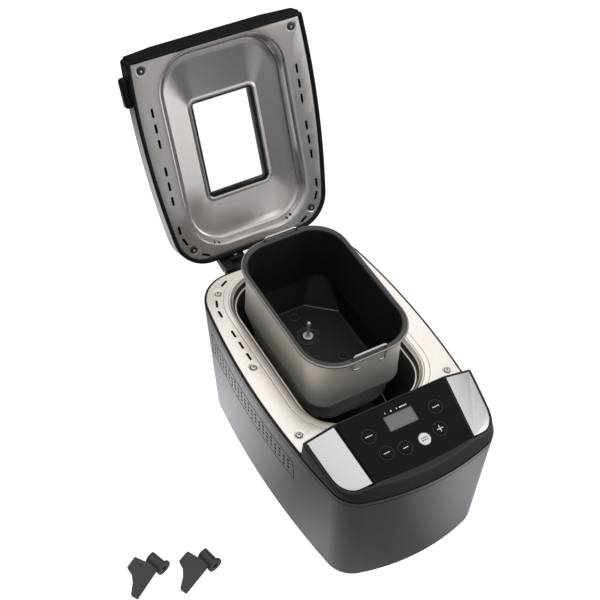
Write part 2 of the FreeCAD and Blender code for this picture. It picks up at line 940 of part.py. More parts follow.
def make_deck():
    cutter = span_box((-200, 200), (-400, s.bezel_back + 0.3), (0, 400))
    outer = prism(bowed_wire(top_plan, size(0), casing_top), s.frame_height)
    inner = prism(bowed_wire(top_plan, s.frame_width, casing_top), s.frame_height)
    well = prism(
        rounded_wire(
            s.opening_half + s.lip_width + 1,
            s.opening_front - s.lip_width - 1,
            s.opening_back + s.lip_width + 1,
            s.opening_radius + s.lip_width + 1,
            casing_top,
        ),
        s.frame_height,
    )
    screw_side = top_plan.half_middle - s.deck_screw_edge
    places = mirrored([corner_screw(), (screw_side, s.deck_screw_middle), (screw_side, s.deck_screw_front)])
    screw_bores = [column(shank_bore, x, y, casing_top, frame_top) for x, y in places]
    feature("top_frame", outer.cut([inner, well, cutter] + screw_bores))

    sheet_metal = prism(bowed_wire(top_plan, s.deck_inset, frame_top), s.deck_sheet)
    lip_low = s.deck_top - s.lip_drop

    def lip_wire(grow, z):
        return rounded_wire(
            s.opening_half + grow, s.opening_front - grow, s.opening_back + grow, s.opening_radius + grow, z
        )

    skin = s.deck_sheet
    lip = loft([lip_wire(skin, lip_low), lip_wire(s.lip_width + skin, s.deck_top)])
    hole = loft([lip_wire(size(0), lip_low), lip_wire(s.lip_width, s.deck_top)])
    head_bore = s.screw_head_radius + s.screw_head_gap
    head_bores = [column(head_bore, x, y, frame_top, s.deck_top) for x, y in places]
    slots = slot_cutters(slot_row(s.deck_slot_first), frame_top - 1, s.deck_top + 1)
    deck = sheet_metal.fuse(lip).cut([hole, cutter] + head_bores + slots)
    feature("top_deck", deck)

    screws = []
    for x, y in places:
        head = column(s.screw_head_radius, x, y, frame_top, s.deck_top)
        shank = column(s.screw_shank_radius, x, y, casing_top, frame_top)
        screws.append(head.fuse(shank).cut(screw_slot(x, y, s.deck_top - s.screw_slot_depth, s.deck_top)))
    feature("deck_screws", Part.makeCompound(screws))


# Baking chamber and heater


def make_chamber():
    wall = s.chamber_wall

    def tub_wire(grow, back, z):
        radius = s.chamber_radius + grow
        return rounded_wire(chamber_half + grow, chamber_front - grow, back + grow, radius, z)

    def tub(grow, low):
        return loft([tub_wire(grow, s.chamber_floor_back, low), tub_wire(grow, chamber_back, s.chamber_top)])

    outside = tub(wall, floor_under)
    inside = tub(size(0), s.chamber_floor)
    rim = prism(tub_wire(s.chamber_flange, chamber_back, s.chamber_top - wall), wall)
    bore = column(s.housing_radius + s.bore_gap, 0, 0, floor_under - 1, s.chamber_floor + 1)
    lead_bore = num(s.element_radius + s.terminal_wall + s.terminal_gap)
    lead_reach = num(s.terminal_reach)
    leads = []
    for x in (s.element_lead, -s.element_lead):
        start = point(x, chamber_front - s.terminal_reach, s.element_height)
        leads.append(Part.makeCylinder(lead_bore, lead_reach * 2, start, Vector(0, 1, 0)))
    probe = point(chamber_half - s.sensor_inside, s.sensor_y, s.sensor_height)
    sensor_bore = num(s.sensor_radius + s.sensor_gap)
    sensor = Part.makeCylinder(sensor_bore, num(s.sensor_inside) * 2, probe, Vector(1, 0, 0))
    feature("baking_chamber", outside.fuse(rim).cut([inside, bore, sensor] + leads).removeSplitter())

    places = [(x, y) for x in (s.leg_side, -s.leg_side) for y in (s.leg_front, s.leg_back)]
    legs = [
        rod(f"leg_{index}", s.leg_radius, (x, y, base_top), floor_under - base_top)
        for index, (x, y) in enumerate(places)
    ]
    node(group("legs", legs), "chamber_legs")

    seat_inner = s.pan_foot_radius + s.seat_gap
    ring = ring_profile(seat_inner, seat_inner + 2.4, s.chamber_floor, s.chamber_floor + s.seat_height)
    node(turned("seat", ring, (0, s.pan_foot_y, 0)), "pan_seat_ring")


def make_heater():
    z = s.element_height
    end = chamber_front - s.terminal_reach
    lead = s.element_lead
    route = [
        point(lead, end, z),
        point(lead, s.element_front, z),
        point(element_half, s.element_front, z),
        point(element_half, s.element_back, z),
        point(-element_half, s.element_back, z),
        point(-element_half, s.element_front, z),
        point(-lead, s.element_front, z),
        point(-lead, end, z),
    ]
    bends = [num(s.element_lead_bend)] + [num(s.element_bend)] * 4 + [num(s.element_lead_bend)]
    feature("heating_element", bent_rod(route, bends, s.element_radius))

    clips = []
    bore_radius = s.element_radius + s.running_gap
    half = s.element_clip_half
    rise = s.element_radius + s.element_clip_wall
    for side in (1, -1):
        reach = sorted((side * num(element_half - rise), side * num(chamber_half)))
        for y in (s.element_clip_front, s.element_clip_back):
            clip = span_box(reach, (y - half, y + half), (z - rise, z + rise))
            start = point(side * element_half, y - half, z)
            clips.append(clip.cut(Part.makeCylinder(num(bore_radius), num(half) * 2, start, Vector(0, 1, 0))))
    feature("element_clips", Part.makeCompound(clips))

    sleeve_end = s.terminal_reach + s.terminal_inside
    sleeve = ring_profile(bore_radius, s.element_radius + s.terminal_wall, sleeve_end / 3, sleeve_end)
    turn = FreeCAD.Rotation(Vector(1, 0, 0), -90)
    sleeves = [turned(f"sleeve_{index}", sleeve, (x, end, z), turn) for index, x in enumerate((lead, -lead))]
    node(group("sleeves", sleeves), "element_terminals")

    stem = s.sensor_flange_radius - 2
    profile = [
        (0, -s.sensor_inside),
        (s.sensor_radius, -s.sensor_inside),
        (s.sensor_radius, 0),
        (s.sensor_flange_radius, 0),
        (s.sensor_flange_radius, s.sensor_flange),
        (stem, s.sensor_flange),
        (stem, s.sensor_length),
        (0, s.sensor_length),
    ]
    place = (chamber_half + s.chamber_wall, s.sensor_y, s.sensor_height)
    sensor = turned("sensor", profile, place, FreeCAD.Rotation(Vector(0, 1, 0), 90))
    node(sensor, "temperature_sensor")


def make_clips():
    """Spring clips on the long walls of the tub, clear of the pan rim."""
    leaves = []
    y = s.pan_clip_y
    half = s.pan_clip_half
    top = s.chamber_top - s.pan_clip_drop
    low = top - s.pan_clip_length
    nose_low = top - half
    nose_top = nose_low + half * 0.6
    for side in (1, -1):
        wall = side * num(chamber_half)
        leaf_x = sorted((wall, wall - side * num(s.pan_clip_sheet)))
        nose_x = sorted((wall, wall - side * num(s.pan_clip_nose)))
        leaf = span_box(leaf_x, (y - half, y + half), (low, top))
        nose = span_box(nose_x, (y - half * 0.6, y + half * 0.6), (nose_low, nose_top))
        leaves.append(leaf.fuse(nose).removeSplitter())
    feature("pan_clips", Part.makeCompound(leaves))


# Drive below the chamber, and the motor


def make_drive():
    bore = s.shaft_radius + s.running_gap
    bush_outer = bore + s.bush_wall
    housing_low = floor_under - s.housing_flange
    profile = [
        (bush_outer + s.fit_gap, housing_low),
        (s.housing_flange_radius, housing_low),
        (s.housing_flange_radius, floor_under),
        (s.housing_radius, floor_under),
        (s.housing_radius, housing_top),
        (bush_outer + s.fit_gap, housing_top),
    ]
    node(turned("housing", profile), "bearing_housing")
    lower = turned("bush_lower", ring_profile(bore, bush_outer, housing_low, housing_low + s.bush_length))
    upper = turned("bush_upper", ring_profile(bore, bush_outer, housing_top - s.bush_length, housing_top))
    node(group("bushes", [lower, upper]), "drive_bushes")

    shaft_low = pulley_low - s.shaft_overhang
    node(rod("shaft", s.shaft_radius, (0, 0, shaft_low), dog_low + s.dog_sheet - shaft_low), "drive_shaft")
    fixed_bore = s.shaft_radius + s.fit_gap
    profile = [
        (fixed_bore, pulley_low),
        (s.pulley_radius, pulley_low),
        (s.pulley_radius, pulley_high),
        (s.pulley_radius - s.pulley_rim, pulley_high),
        (s.pulley_radius - s.pulley_rim, pulley_low + s.pulley_web),
        (s.shaft_radius + s.pulley_hub_wall, pulley_low + s.pulley_web),
        (s.shaft_radius + s.pulley_hub_wall, pulley_high),
        (fixed_bore, pulley_high),
    ]
    node(turned("pulley", profile), "large_pulley")

    disc = rod("dog_disc", s.dog_radius, (0, 0, dog_low), s.dog_sheet)
    far = s.dog_radius - s.prong_edge
    near = far - s.prong_width
    half = s.prong_width * 0.5
    prongs = [
        block(f"prong_{index}", x, (-half, half), (dog_low, dog_low + s.dog_height))
        for index, x in enumerate(((near, far), (-far, -near)))
    ]
    shaft_hole = rod("dog_bore", fixed_bore, (0, 0, dog_low - 1), s.dog_height + 2)
    node(cut("dog", join("dog_solid", [disc] + prongs), [shaft_hole]), "drive_dog")


def belt_wire(gap, z):
    """The loop round both pulleys, a gap outside them."""
    big = num(s.pulley_radius + gap)
    small = num(s.motor_pulley_radius + gap)
    away = num(s.motor_y)
    lean = (big - small) / abs(away)
    across = math.sqrt(1 - lean * lean)
    right = [point(across * big, -lean * big, z), point(across * small, away - lean * small, z)]
    left = [point(-end.x, end.y, z) for end in right]
    return Part.Wire(
        [
            Part.Arc(right[0], point(0, big, z), left[0]).toShape(),
            Part.makeLine(left[0], left[1]),
            Part.Arc(left[1], point(0, away - small, z), right[1]).toShape(),
            Part.makeLine(right[1], right[0]),
        ]
    )


def make_motor():
    y = s.motor_y
    belt_low = pulley_low + s.belt_inset
    belt_height = s.pulley_height - s.belt_inset * 2
    outer = prism(belt_wire(s.belt_gap + s.belt_thickness, belt_low), belt_height)
    feature("drive_belt", outer.cut(prism(belt_wire(s.belt_gap, belt_low), belt_height)))

    spread = s.motor_post_spread
    corners = [(x, y + away) for x in (spread, -spread) for away in (spread, -spread)]
    post_height = motor_low - s.motor_plate - base_top
    posts = [
        rod(f"motor_post_{index}", s.motor_post_radius, (*corner, base_top), post_height)
        for index, corner in enumerate(corners)
    ]
    half = s.motor_plate_half
    plate = block("motor_plate", (-half, half), (y - half, y + half), (motor_low - s.motor_plate, motor_low))
    hole_radius = s.motor_pulley_radius + s.motor_pulley_gap
    hole = rod("motor_plate_hole", hole_radius, (0, y, motor_low - s.motor_plate - 1), s.motor_plate + 2)
    node(cut("motor_stand", join("motor_stand_solid", posts + [plate]), [hole]), "motor_bracket")

    bore = s.motor_shaft_radius + s.running_gap
    top = motor_low + s.motor_height
    profile = [
        (bore, motor_low),
        (s.motor_radius, motor_low),
        (s.motor_radius, top - s.motor_bevel),
        (s.motor_radius - s.motor_bevel, top),
        (0, top),
        (0, motor_low + s.motor_bore_depth),
        (bore, motor_low + s.motor_bore_depth),
    ]
    node(turned("motor", profile, (0, y, 0)), "motor_body")
    rotor_low = pulley_low - s.shaft_overhang * 0.5
    rotor_length = motor_low + s.motor_bore_depth - 1 - rotor_low
    node(rod("rotor", s.motor_shaft_radius, (0, y, rotor_low), rotor_length), "motor_shaft")
    ring = ring_profile(s.motor_shaft_radius + s.fit_gap, s.motor_pulley_radius, pulley_low, pulley_high)
    node(turned("small_pulley", ring, (0, y, 0)), "motor_pulley")


def make_power_board():
    low = base_top + s.power_post
    high = low + s.board_sheet
    left = s.power_board_left
    front = s.power_board_front
    width = s.power_board_right - left
    length = s.power_board_back - front

    def across(share):
        return left + width * share

    def along(share):
        return front + length * share

    board = block("power_sheet", (left, across(1)), (front, along(1)), (low, high))
    relay_z = (low, high + s.relay_height)
    relay = block("power_relay", (across(0.12), across(0.59)), (along(0.13), along(0.47)), relay_z)
    choke_z = (low, high + s.choke_height)
    choke = block("power_choke", (across(0.18), across(0.7)), (along(0.6), along(0.9)), choke_z)
    can = rod("power_can", s.can_radius, (across(0.78), along(0.33), low), s.board_sheet + s.can_height)
    node(join("power", [board, relay, choke, can]), "power_board")


# Bread pan, its spindle and wire handles


def pan_wires(grow, floor_z):
    """Outlines of the pan at its mouth, its crease and its floor."""
    mouth = (s.pan_mouth_half, s.pan_mouth_half_length, s.pan_mouth_radius, pan_rim)
    crease = (s.pan_crease_half, s.pan_crease_half_length, s.pan_crease_radius, pan_rim - s.pan_crease_depth)
    wires = []
    for half, length, radius, z in (mouth, crease):
        reach = length + grow
        wires.append(rounded_wire(half + grow, s.pan_y - reach, s.pan_y + reach, radius + grow, z))
    floor = cornered_wire(
        s.pan_floor_half + grow,
        s.pan_floor_front - grow,
        s.pan_floor_back + grow,
        s.pan_floor_chamfer_x,
        s.pan_floor_chamfer_y,
        floor_z,
        rounded=False,
    )
    return wires + [floor]


def pan_body(grow, floor_z):
    mouth, crease, floor = pan_wires(grow, floor_z)
    return loft([mouth, crease]).fuse(loft([crease, floor]))


def rivet_places():
    """Three rivets of the foot, on one circle."""
    places = []
    for angle in (90, 90 + 148.5, 90 - 148.5):
        turn = math.radians(angle)
        reach = num(s.rivet_circle)
        places.append((reach * math.cos(turn), num(s.pan_foot_y) + reach * math.sin(turn)))
    return places


def grip_places():
    return [s.pan_y - s.grip_offset, s.pan_y + s.grip_offset]


def make_pan():
    rim = prism(
        rounded_wire(
            s.pan_rim_half,
            s.pan_y - s.pan_rim_half_length,
            s.pan_y + s.pan_rim_half_length,
            s.pan_rim_radius,
            pan_rim - s.pan_rim_height,
        ),
        s.pan_rim_height,
    )
    inside = pan_body(size(0), pan_inside)
    shank = s.rivet_radius + s.fit_gap
    holes = [column(shank, x, y, pan_under - 1, pan_inside + 1) for x, y in rivet_places()]
    holes.append(column(s.pan_bearing_radius + s.fit_gap, 0, 0, pan_under - 1, pan_inside + 1))
    wire_bore = s.grip_wire_radius + s.grip_gap
    for y in grip_places():
        for x in (s.grip_half, -s.grip_half):
            holes.append(column(wire_bore, x, y, pan_rim - s.pan_rim_height * 2.5, pan_rim))
    pan = pan_body(s.pan_wall, pan_under).fuse(rim).cut([inside] + holes)
    feature("bread_pan", pan)

    flange = s.pan_foot_sheet
    foot_low = s.chamber_floor + s.pan_foot_lift + s.pan_lift
    inner = s.pan_foot_radius - s.pan_foot_wall
    ring = column(s.pan_foot_radius, 0, s.pan_foot_y, foot_low, pan_under)
    hollow = column(inner, 0, s.pan_foot_y, foot_low, pan_under - flange)
    centre = column(inner - s.pan_foot_flange, 0, s.pan_foot_y, foot_low, pan_under)
    foot_holes = [column(shank, x, y, pan_under - flange, pan_under) for x, y in rivet_places()]
    feature("pan_foot", ring.cut([hollow, centre] + foot_holes))

    head = s.rivet_head_height
    profile = [
        (0, pan_under - flange - head),
        (s.rivet_head_radius, pan_under - flange - head),
        (s.rivet_head_radius, pan_under - flange),
        (s.rivet_radius, pan_under - flange),
        (s.rivet_radius, pan_inside),
        (s.rivet_head_radius, pan_inside),
        (s.rivet_head_radius - head, pan_inside + head),
        (0, pan_inside + head),
    ]
    rivets = [turned(f"rivet_{index}", profile, (x, y, 0)) for index, (x, y) in enumerate(rivet_places())]
    node(group("rivets", rivets), "pan_rivets")


def make_spindle():
    bore = s.spindle_radius + s.running_gap
    bearing_low = pan_under - s.pan_bearing_drop
    profile = [
        (bore, bearing_low),
        (s.pan_bearing_flange, bearing_low),
        (s.pan_bearing_flange, pan_under),
        (s.pan_bearing_radius, pan_under),
        (s.pan_bearing_radius, pan_inside),
        (s.washer_radius, pan_inside),
        (s.washer_radius, pan_inside + s.washer_thickness),
        (bore, pan_inside + s.washer_thickness),
    ]
    node(turned("pan_bush", profile), "pan_bearing")

    wing_low = bearing_low - s.wing_gap - s.wing_height
    top = pan_inside + s.spindle_rise
    neck = top - s.spindle_tip_height
    profile = [
        (0, wing_low),
        (s.spindle_radius, wing_low),
        (s.spindle_radius, neck - s.spindle_groove_width),
        (s.spindle_radius - s.spindle_groove, neck - s.spindle_groove_width),
        (s.spindle_radius - s.spindle_groove, neck),
        (s.spindle_radius, neck),
        (s.spindle_radius, top - s.spindle_point),
        (s.spindle_radius - s.spindle_point, top),
        (0, top),
    ]
    node(turned("spindle", profile), "pan_spindle")

    half_length = s.wing_length * 0.5
    half_width = s.wing_width * 0.5
    wing_high = wing_low + s.wing_height
    bar = block("wing_bar", (-half_width, half_width), (-half_length, half_length), (wing_low, wing_high))
    hub = rod("wing_hub", s.spindle_radius + s.wing_hub_wall, (0, 0, wing_low), s.wing_height)
    hole = rod("wing_bore", s.spindle_radius + s.fit_gap, (0, 0, wing_low - 1), s.wing_height + 2)
    node(cut("wing", join("wing_solid", [bar, hub]), [hole]), "pan_coupling")


def make_grips():
    low = pan_rim - s.grip_drop
    high = pan_rim + s.grip_rise
    inner = s.grip_half - s.grip_hook
    for y, label in zip(grip_places(), ("pan_handle_front", "pan_handle_rear")):
        route = [
            point(-inner, y, low),
            point(-s.grip_half, y, low),
            point(-s.grip_half, y, high),
            point(s.grip_half, y, high),
            point(s.grip_half, y, low),
            point(inner, y, low),
        ]
        feature(label, bent_rod(route, [num(s.grip_bend)] * 4, s.grip_wire_radius))


# Lid, drawn closed and then swung open

hinge_point = point(0, s.hinge_y, s.hinge_z)
open_turn = FreeCAD.Rotation(Vector(1, 0, 0), -num(s.lid_open_angle))
LID_OPEN = FreeCAD.Placement(hinge_point - open_turn.multVec(hinge_point), open_turn)


def lid_crown(drop):
    """Everything under the faceted top of the lid, lowered by drop."""
    top = num(lid_crown_z - drop)
    side_fall = num(s.panel_crown - s.panel_edge) / num(s.panel_edge_half - s.panel_kink_back)
    kink = num(s.panel_kink_back)
    under = below_plane(lambda x, y: top, 100)
    for side in (1, -1):
        under = under.common(below_plane(lambda x, y: top - side_fall * (side * x - kink), 20))
    back_start = num(s.lid_back) - num(s.lid_back_slope)
    return under.common(below_plane(lambda x, y: top - num(s.lid_back_fall) * (y - back_start), 20))


def lid_block(inset, low, drop):
    """The lid's outline drawn in by inset, from low up to its lowered crown."""
    return prism(bowed_wire(lid_plan, size(inset), low), 60).common(lid_crown(drop))


def dish_wire(half_change, z):
    """Outline of the dish in the lid, changed by the same amount all round."""
    return rounded_wire(
        s.dish_half + half_change,
        s.dish_front - half_change,
        s.dish_back + half_change,
        s.dish_radius + half_change,
        z,
    )


def window_wire(grow, z):
    radius = s.window_radius + max(num(grow), -num(s.window_radius) * 0.7)
    return rounded_wire(s.window_half + grow, s.window_front - grow, s.window_back + grow, radius, z)


def lid_screw_places():
    return mirrored([corner_screw(), (slot_side + 2, s.lid_screw_front)])


def make_lid():
    sheet_top = lid_low + s.lid_sheet
    shell_low = lid_low + s.gasket_height
    dish_top = lid_low + s.dish_depth
    skin = s.lid_sheet

    flat = prism(bowed_wire(lid_plan, s.gasket_inner + s.panel_edge_gap, lid_low), s.lid_sheet)
    dish = loft([dish_wire(skin, lid_low), dish_wire(skin - s.dish_slope, dish_top + skin)])
    hollow = loft([dish_wire(size(0), lid_low), dish_wire(-s.dish_slope, dish_top)])
    opening = prism(window_wire(0, dish_top - 1), 10)
    screw_holes = [column(shank_bore, x, y, lid_low, sheet_top) for x, y in lid_screw_places()]
    rows = slot_row(s.lid_slot_first) + slot_row(s.lid_slot_second)
    slots = slot_cutters(rows, lid_low - 1, sheet_top + 1)
    panel = flat.fuse(dish).cut([hollow, opening] + screw_holes + slots)
    feature("lid_panel", panel, LID_OPEN)

    ring = prism(bowed_wire(lid_plan, s.lid_seam, lid_low), s.gasket_height)
    ring_hole = prism(bowed_wire(lid_plan, s.gasket_inner, lid_low), s.gasket_height)
    feature("lid_gasket", ring.cut(ring_hole), LID_OPEN)

    outer = lid_block(0, shell_low, 0)
    inner = lid_block(s.lid_wall, shell_low, num(s.lid_wall))
    aperture = prism(window_wire(-s.aperture_inset, dish_top), 60)
    bosses = []
    for x, y in lid_screw_places():
        boss = column(s.lid_boss_radius, x, y, sheet_top, crown_z).common(lid_block(1, sheet_top, 1))
        bosses.append(boss.cut(column(shank_bore, x, y, sheet_top, sheet_top + s.lid_boss_depth)))
    shell = outer.cut([inner, aperture]).fuse(bosses).removeSplitter()
    feature("lid_shell", shell, LID_OPEN)

    screws = []
    for x, y in lid_screw_places():
        head_low = lid_low - s.lid_head_height
        head = column(s.screw_head_radius, x, y, head_low, lid_low)
        shank = column(s.screw_shank_radius, x, y, lid_low, sheet_top + s.lid_boss_depth - 1)
        screws.append(head.fuse(shank).cut(screw_slot(x, y, head_low, head_low + s.lid_head_height * 0.6)))
    feature("lid_screws", Part.makeCompound(screws), LID_OPEN)

    frame_low = dish_top + skin
    frame_high = lid_crown_z - s.lid_wall
    frame = prism(window_wire(s.window_frame_width, frame_low), frame_high - frame_low)
    sight = prism(window_wire(-s.sight_inset, frame_low), frame_high - frame_low)
    pane_low = frame_low + s.pane_lift
    pane_grow = s.pane_half - s.window_half
    groove_low = pane_low - s.pane_gap * 0.5
    groove = prism(window_wire(pane_grow + s.pane_gap, groove_low), s.pane_thickness + s.pane_gap)
    feature("window_frame", frame.cut([sight, groove]), LID_OPEN)
    feature("lid_window", prism(window_wire(pane_grow, pane_low), s.pane_thickness), LID_OPEN)

    half = num(s.lid_half_front - s.lid_front_radius)
    strip = span_box((-half, half), (s.lid_front - s.front_trim, s.lid_front), (lid_low, lid_low + 60))
    feature("lid_front_trim", strip.common(lid_crown(1)), LID_OPEN)

    tab_reach = lid_plan.half_middle + s.tab_proud
    tab_z = (lid_low + s.tab_low, lid_low + s.tab_high)
    tab = span_box((-tab_reach, -s.lid_half_back), (s.tab_front, s.tab_back), tab_z)
    uprights = vertical_edges(tab, lambda end: end.x < -num(tab_reach) + 1)
    tab = tab.makeFillet(num(s.tab_corner), uprights).cut(prism(bowed_wire(lid_plan, size(0), lid_low), 60))
    feature("lid_handle", tab, LID_OPEN)


def side_prism(outline, low, high):
    """A shape drawn in the Y-Z plane and stretched between two X values."""
    polygon = Part.makePolygon([point(low, y, z) for y, z in outline + outline[:1]])
    return Part.Face(polygon).extrude(Vector(num(high) - num(low), 0, 0))


def both_sides(shape):
    """A shape on the right and its mirror on the left."""
    return [shape, shape.mirror(Vector(), Vector(1, 0, 0))]


def make_hinges():
    y = s.hinge_y
    z = s.hinge_z
    knuckle = s.knuckle_radius

    def along(radius, low, high):
        return Part.makeCylinder(num(radius), num(high) - num(low), point(low, y, z), Vector(1, 0, 0))

    plate = [
        (back_wall_y(z - 10) + 0.1, z - 10),
        (back_wall_y(z + 5) + 0.1, z + 5),
        (y, z + knuckle),
        (y, z - knuckle),
    ]
    low = s.body_knuckle_inner
    high = s.body_knuckle_outer
    bracket = side_prism(plate, low, high).fuse(along(knuckle, low, high))
    bracket = bracket.cut(along(s.pin_radius + s.fit_gap, low, high)).removeSplitter()
    feature("hinge_brackets", Part.makeCompound(both_sides(bracket)))

    arm = [
        (y - knuckle, z),
        (s.lid_back + 1.9, lid_low + 1),
        (s.lid_back + 0.1, lid_low + 4),
        (s.lid_back + 0.1, lid_low + 14),
        (s.lid_back + 4.4, lid_low + 14),
        (y + knuckle, z + 3),
    ]
    low = s.lid_knuckle_inner
    high = s.lid_knuckle_outer
    tongue = side_prism(arm, low, high).fuse(along(knuckle, low, high))
    tongue = tongue.cut(along(s.pin_radius + s.running_gap, low, high)).removeSplitter()
    feature("lid_hinge_blocks", Part.makeCompound(both_sides(tongue)), LID_OPEN)

    length = s.lid_knuckle_outer - s.body_knuckle_inner + 3
    pins = [
        rod("pin_right", s.pin_radius, (s.body_knuckle_inner - 1.5, y, z), length, "x"),
        rod("pin_left", s.pin_radius, (-s.lid_knuckle_outer - 1.5, y, z), length, "x"),
    ]
    node(group("pins", pins), "hinge_pins")


# Control panel

PANEL = FreeCAD.Placement(
    point(0, s.bezel_back, crown_z), FreeCAD.Rotation(Vector(1, 0, 0), num(s.panel_tilt))
)
tilt_cos = Size(math.cos(math.radians(num(s.panel_tilt))), "cos(Sizes.panel_tilt * 1deg)")
tilt_sin = Size(math.sin(math.radians(num(s.panel_tilt))), "sin(Sizes.panel_tilt * 1deg)")


def bezel_plans(inset):
    """Outlines of the control housing at its foot and high above it."""
    foot = SimpleNamespace(**vars(top_plan))
    high = SimpleNamespace(**vars(top_plan))
    high.half_middle = top_plan.half_middle - s.bezel_side_draft
    high.half_front = top_plan.half_front + s.bezel_corner_spread
    high.corner = top_plan.corner + s.bezel_corner_draft
    high.front = top_plan.front + s.bezel_front_draft
    high.front_radius = top_plan.front_radius - 5
    low_z = casing_top + 0.5
    return [bowed_wire(foot, inset, low_z), bowed_wire(high, inset, low_z + s.bezel_loft_height)]


def bezel_block(inset, drop, back):
    """The control housing as a block: outline drawn in, faceted top lowered, back face moved."""
    slope = num(tilt_sin) / num(tilt_cos)
    fall = num(s.panel_crown - s.panel_edge) / num(s.panel_edge_half - s.panel_kink_back)
    kink = num(s.panel_kink_back)
    narrowing = num(s.panel_kink_back - s.panel_kink_front) / num(s.panel_reach)
    top = num(crown_z) - drop
    start = num(s.bezel_back)
    block_shape = loft(bezel_plans(inset))
    block_shape = block_shape.common(span_box((-200, 200), (-400, back), (0, 400)))
    block_shape = block_shape.common(below_plane(lambda x, y: top + slope * (y - start), -200))
    side_slope = slope + fall * narrowing
    for side in (1, -1):
        plane = below_plane(lambda x, y: top - fall * (side * x - kink) + side_slope * (y - start), -300)
        block_shape = block_shape.common(plane)
    return block_shape


def trapezoid(shrink, low, high, ahead=1):
    """The gloss panel's outline on the tilted top, in the panel's own frame."""
    length = ahead * num(s.panel_reach) / num(tilt_cos)
    back = num(s.panel_kink_back) - shrink
    front = back - ahead * num(s.panel_kink_back - s.panel_kink_front)
    start = -num(s.panel_margin) - shrink
    corners = [(-back, start), (-front, shrink - length), (front, shrink - length), (back, start)]
    polygon = Part.makePolygon([point(x, y, low) for x, y in corners + corners[:1]])
    return Part.Face(polygon).extrude(Vector(0, 0, high - low))


BUTTONS = {
    "menu_button": (-1, s.button_outer_x, s.button_outer_y),
    "colour_button": (1, s.button_outer_x, s.button_outer_y),
    "minus_button": (-1, s.button_middle_x, s.button_middle_y),
    "plus_button": (1, s.button_middle_x, s.button_middle_y),
    "loaf_button": (-1, s.button_inner_x, s.button_inner_y),
    "start_button": (1, s.button_inner_x, s.button_inner_y),
}


def on_panel(shape):
    moved = shape.copy()
    moved.Placement = PANEL
    return moved


def button_holes():
    radius = s.button_radius + s.button_gap
    return [column(radius, x * side, y, -6, 2) for side, x, y in BUTTONS.values()]


def screen_hole(grow, low, high):
    half = s.lcd_half + grow
    reach = s.lcd_length * 0.5 + grow
    return span_box((-half, half), (s.lcd_y - reach, s.lcd_y + reach), (low, high))


def board_posts():
    side = s.board_half - s.board_post_edge
    ends = (-s.board_back - s.board_post_edge, s.board_post_edge - s.board_length)
    return [(x, y) for x in (-side, side) for y in ends]


def make_panel():
    wall = s.bezel_wall
    seam = s.bezel_seam
    outer = bezel_block(seam, 0, s.bezel_back)
    inner = bezel_block(seam + wall, num(wall), s.bezel_back - wall)
    plate_edge = seam + s.plate_inset
    plate_back = s.bezel_back - s.panel_margin
    under_plates = bezel_block(plate_edge, num(s.plate_sheet), plate_back)
    layer = bezel_block(plate_edge, 0, plate_back).cut(under_plates)
    plates = layer.cut(on_panel(trapezoid(-0.3, -20, 20, ahead=2))).Solids
    feature("side_plates", Part.makeCompound(plates))

    skin = num(s.fascia_sheet)
    recess = on_panel(trapezoid(0, -skin, 5))
    holes = [on_panel(hole) for hole in button_holes() + [screen_hole(-1.2, -6, 2)]]
    bosses = []
    for x, y in board_posts():
        bosses.append(on_panel(column(s.board_post_radius, x, y, -s.board_depth, -s.bezel_wall * 0.5)))
    bezel = outer.cut([inner]).fuse(bosses).cut([recess] + plates + holes)
    feature("control_bezel", bezel)

    fascia = trapezoid(0, -skin, 0).cut(button_holes() + [screen_hole(0.1, -skin - 1, 1)])
    feature("panel_fascia", fascia, PANEL)
    feature("lcd_window", screen_hole(0, -skin, 0), PANEL)

    module = screen_hole(1.5, -num(s.board_depth), -num(wall) - 0.2)
    feature("lcd_module", module, PANEL)
    low = -num(s.board_depth + s.board_sheet)
    board = span_box((-s.board_half, s.board_half), (-s.board_length, -s.board_back), (low, -s.board_depth))
    switch_top = -s.button_depth - s.switch_gap - s.button_travel
    switch = s.board_post_radius
    switches = [column(switch, x * side, y, -s.board_depth, switch_top) for side, x, y in BUTTONS.values()]
    feature("control_board", board.fuse(switches).removeSplitter(), PANEL)


def make_buttons():
    flange_top = -s.bezel_wall - s.button_flange_gap
    flange_low = flange_top - s.button_flange
    cap = s.button_radius
    stem = cap - s.button_flange
    flange = cap + s.button_flange
    profile = [
        (0, -s.button_depth),
        (stem, -s.button_depth),
        (stem, flange_low),
        (flange, flange_low),
        (flange, flange_top),
        (cap, flange_top),
        (cap, s.button_proud - s.button_edge),
        (cap - s.button_edge, s.button_proud),
        (0, s.button_proud),
    ]
    turn = FreeCAD.Rotation(Vector(1, 0, 0), num(s.panel_tilt))
    for label, (side, x, y) in BUTTONS.items():
        place = (x * side, s.bezel_back + y * tilt_cos, crown_z + y * tilt_sin)
        node(turned(label + "_cap", profile, place, turn), label)


# Loose kneading paddles, lying on the worktop


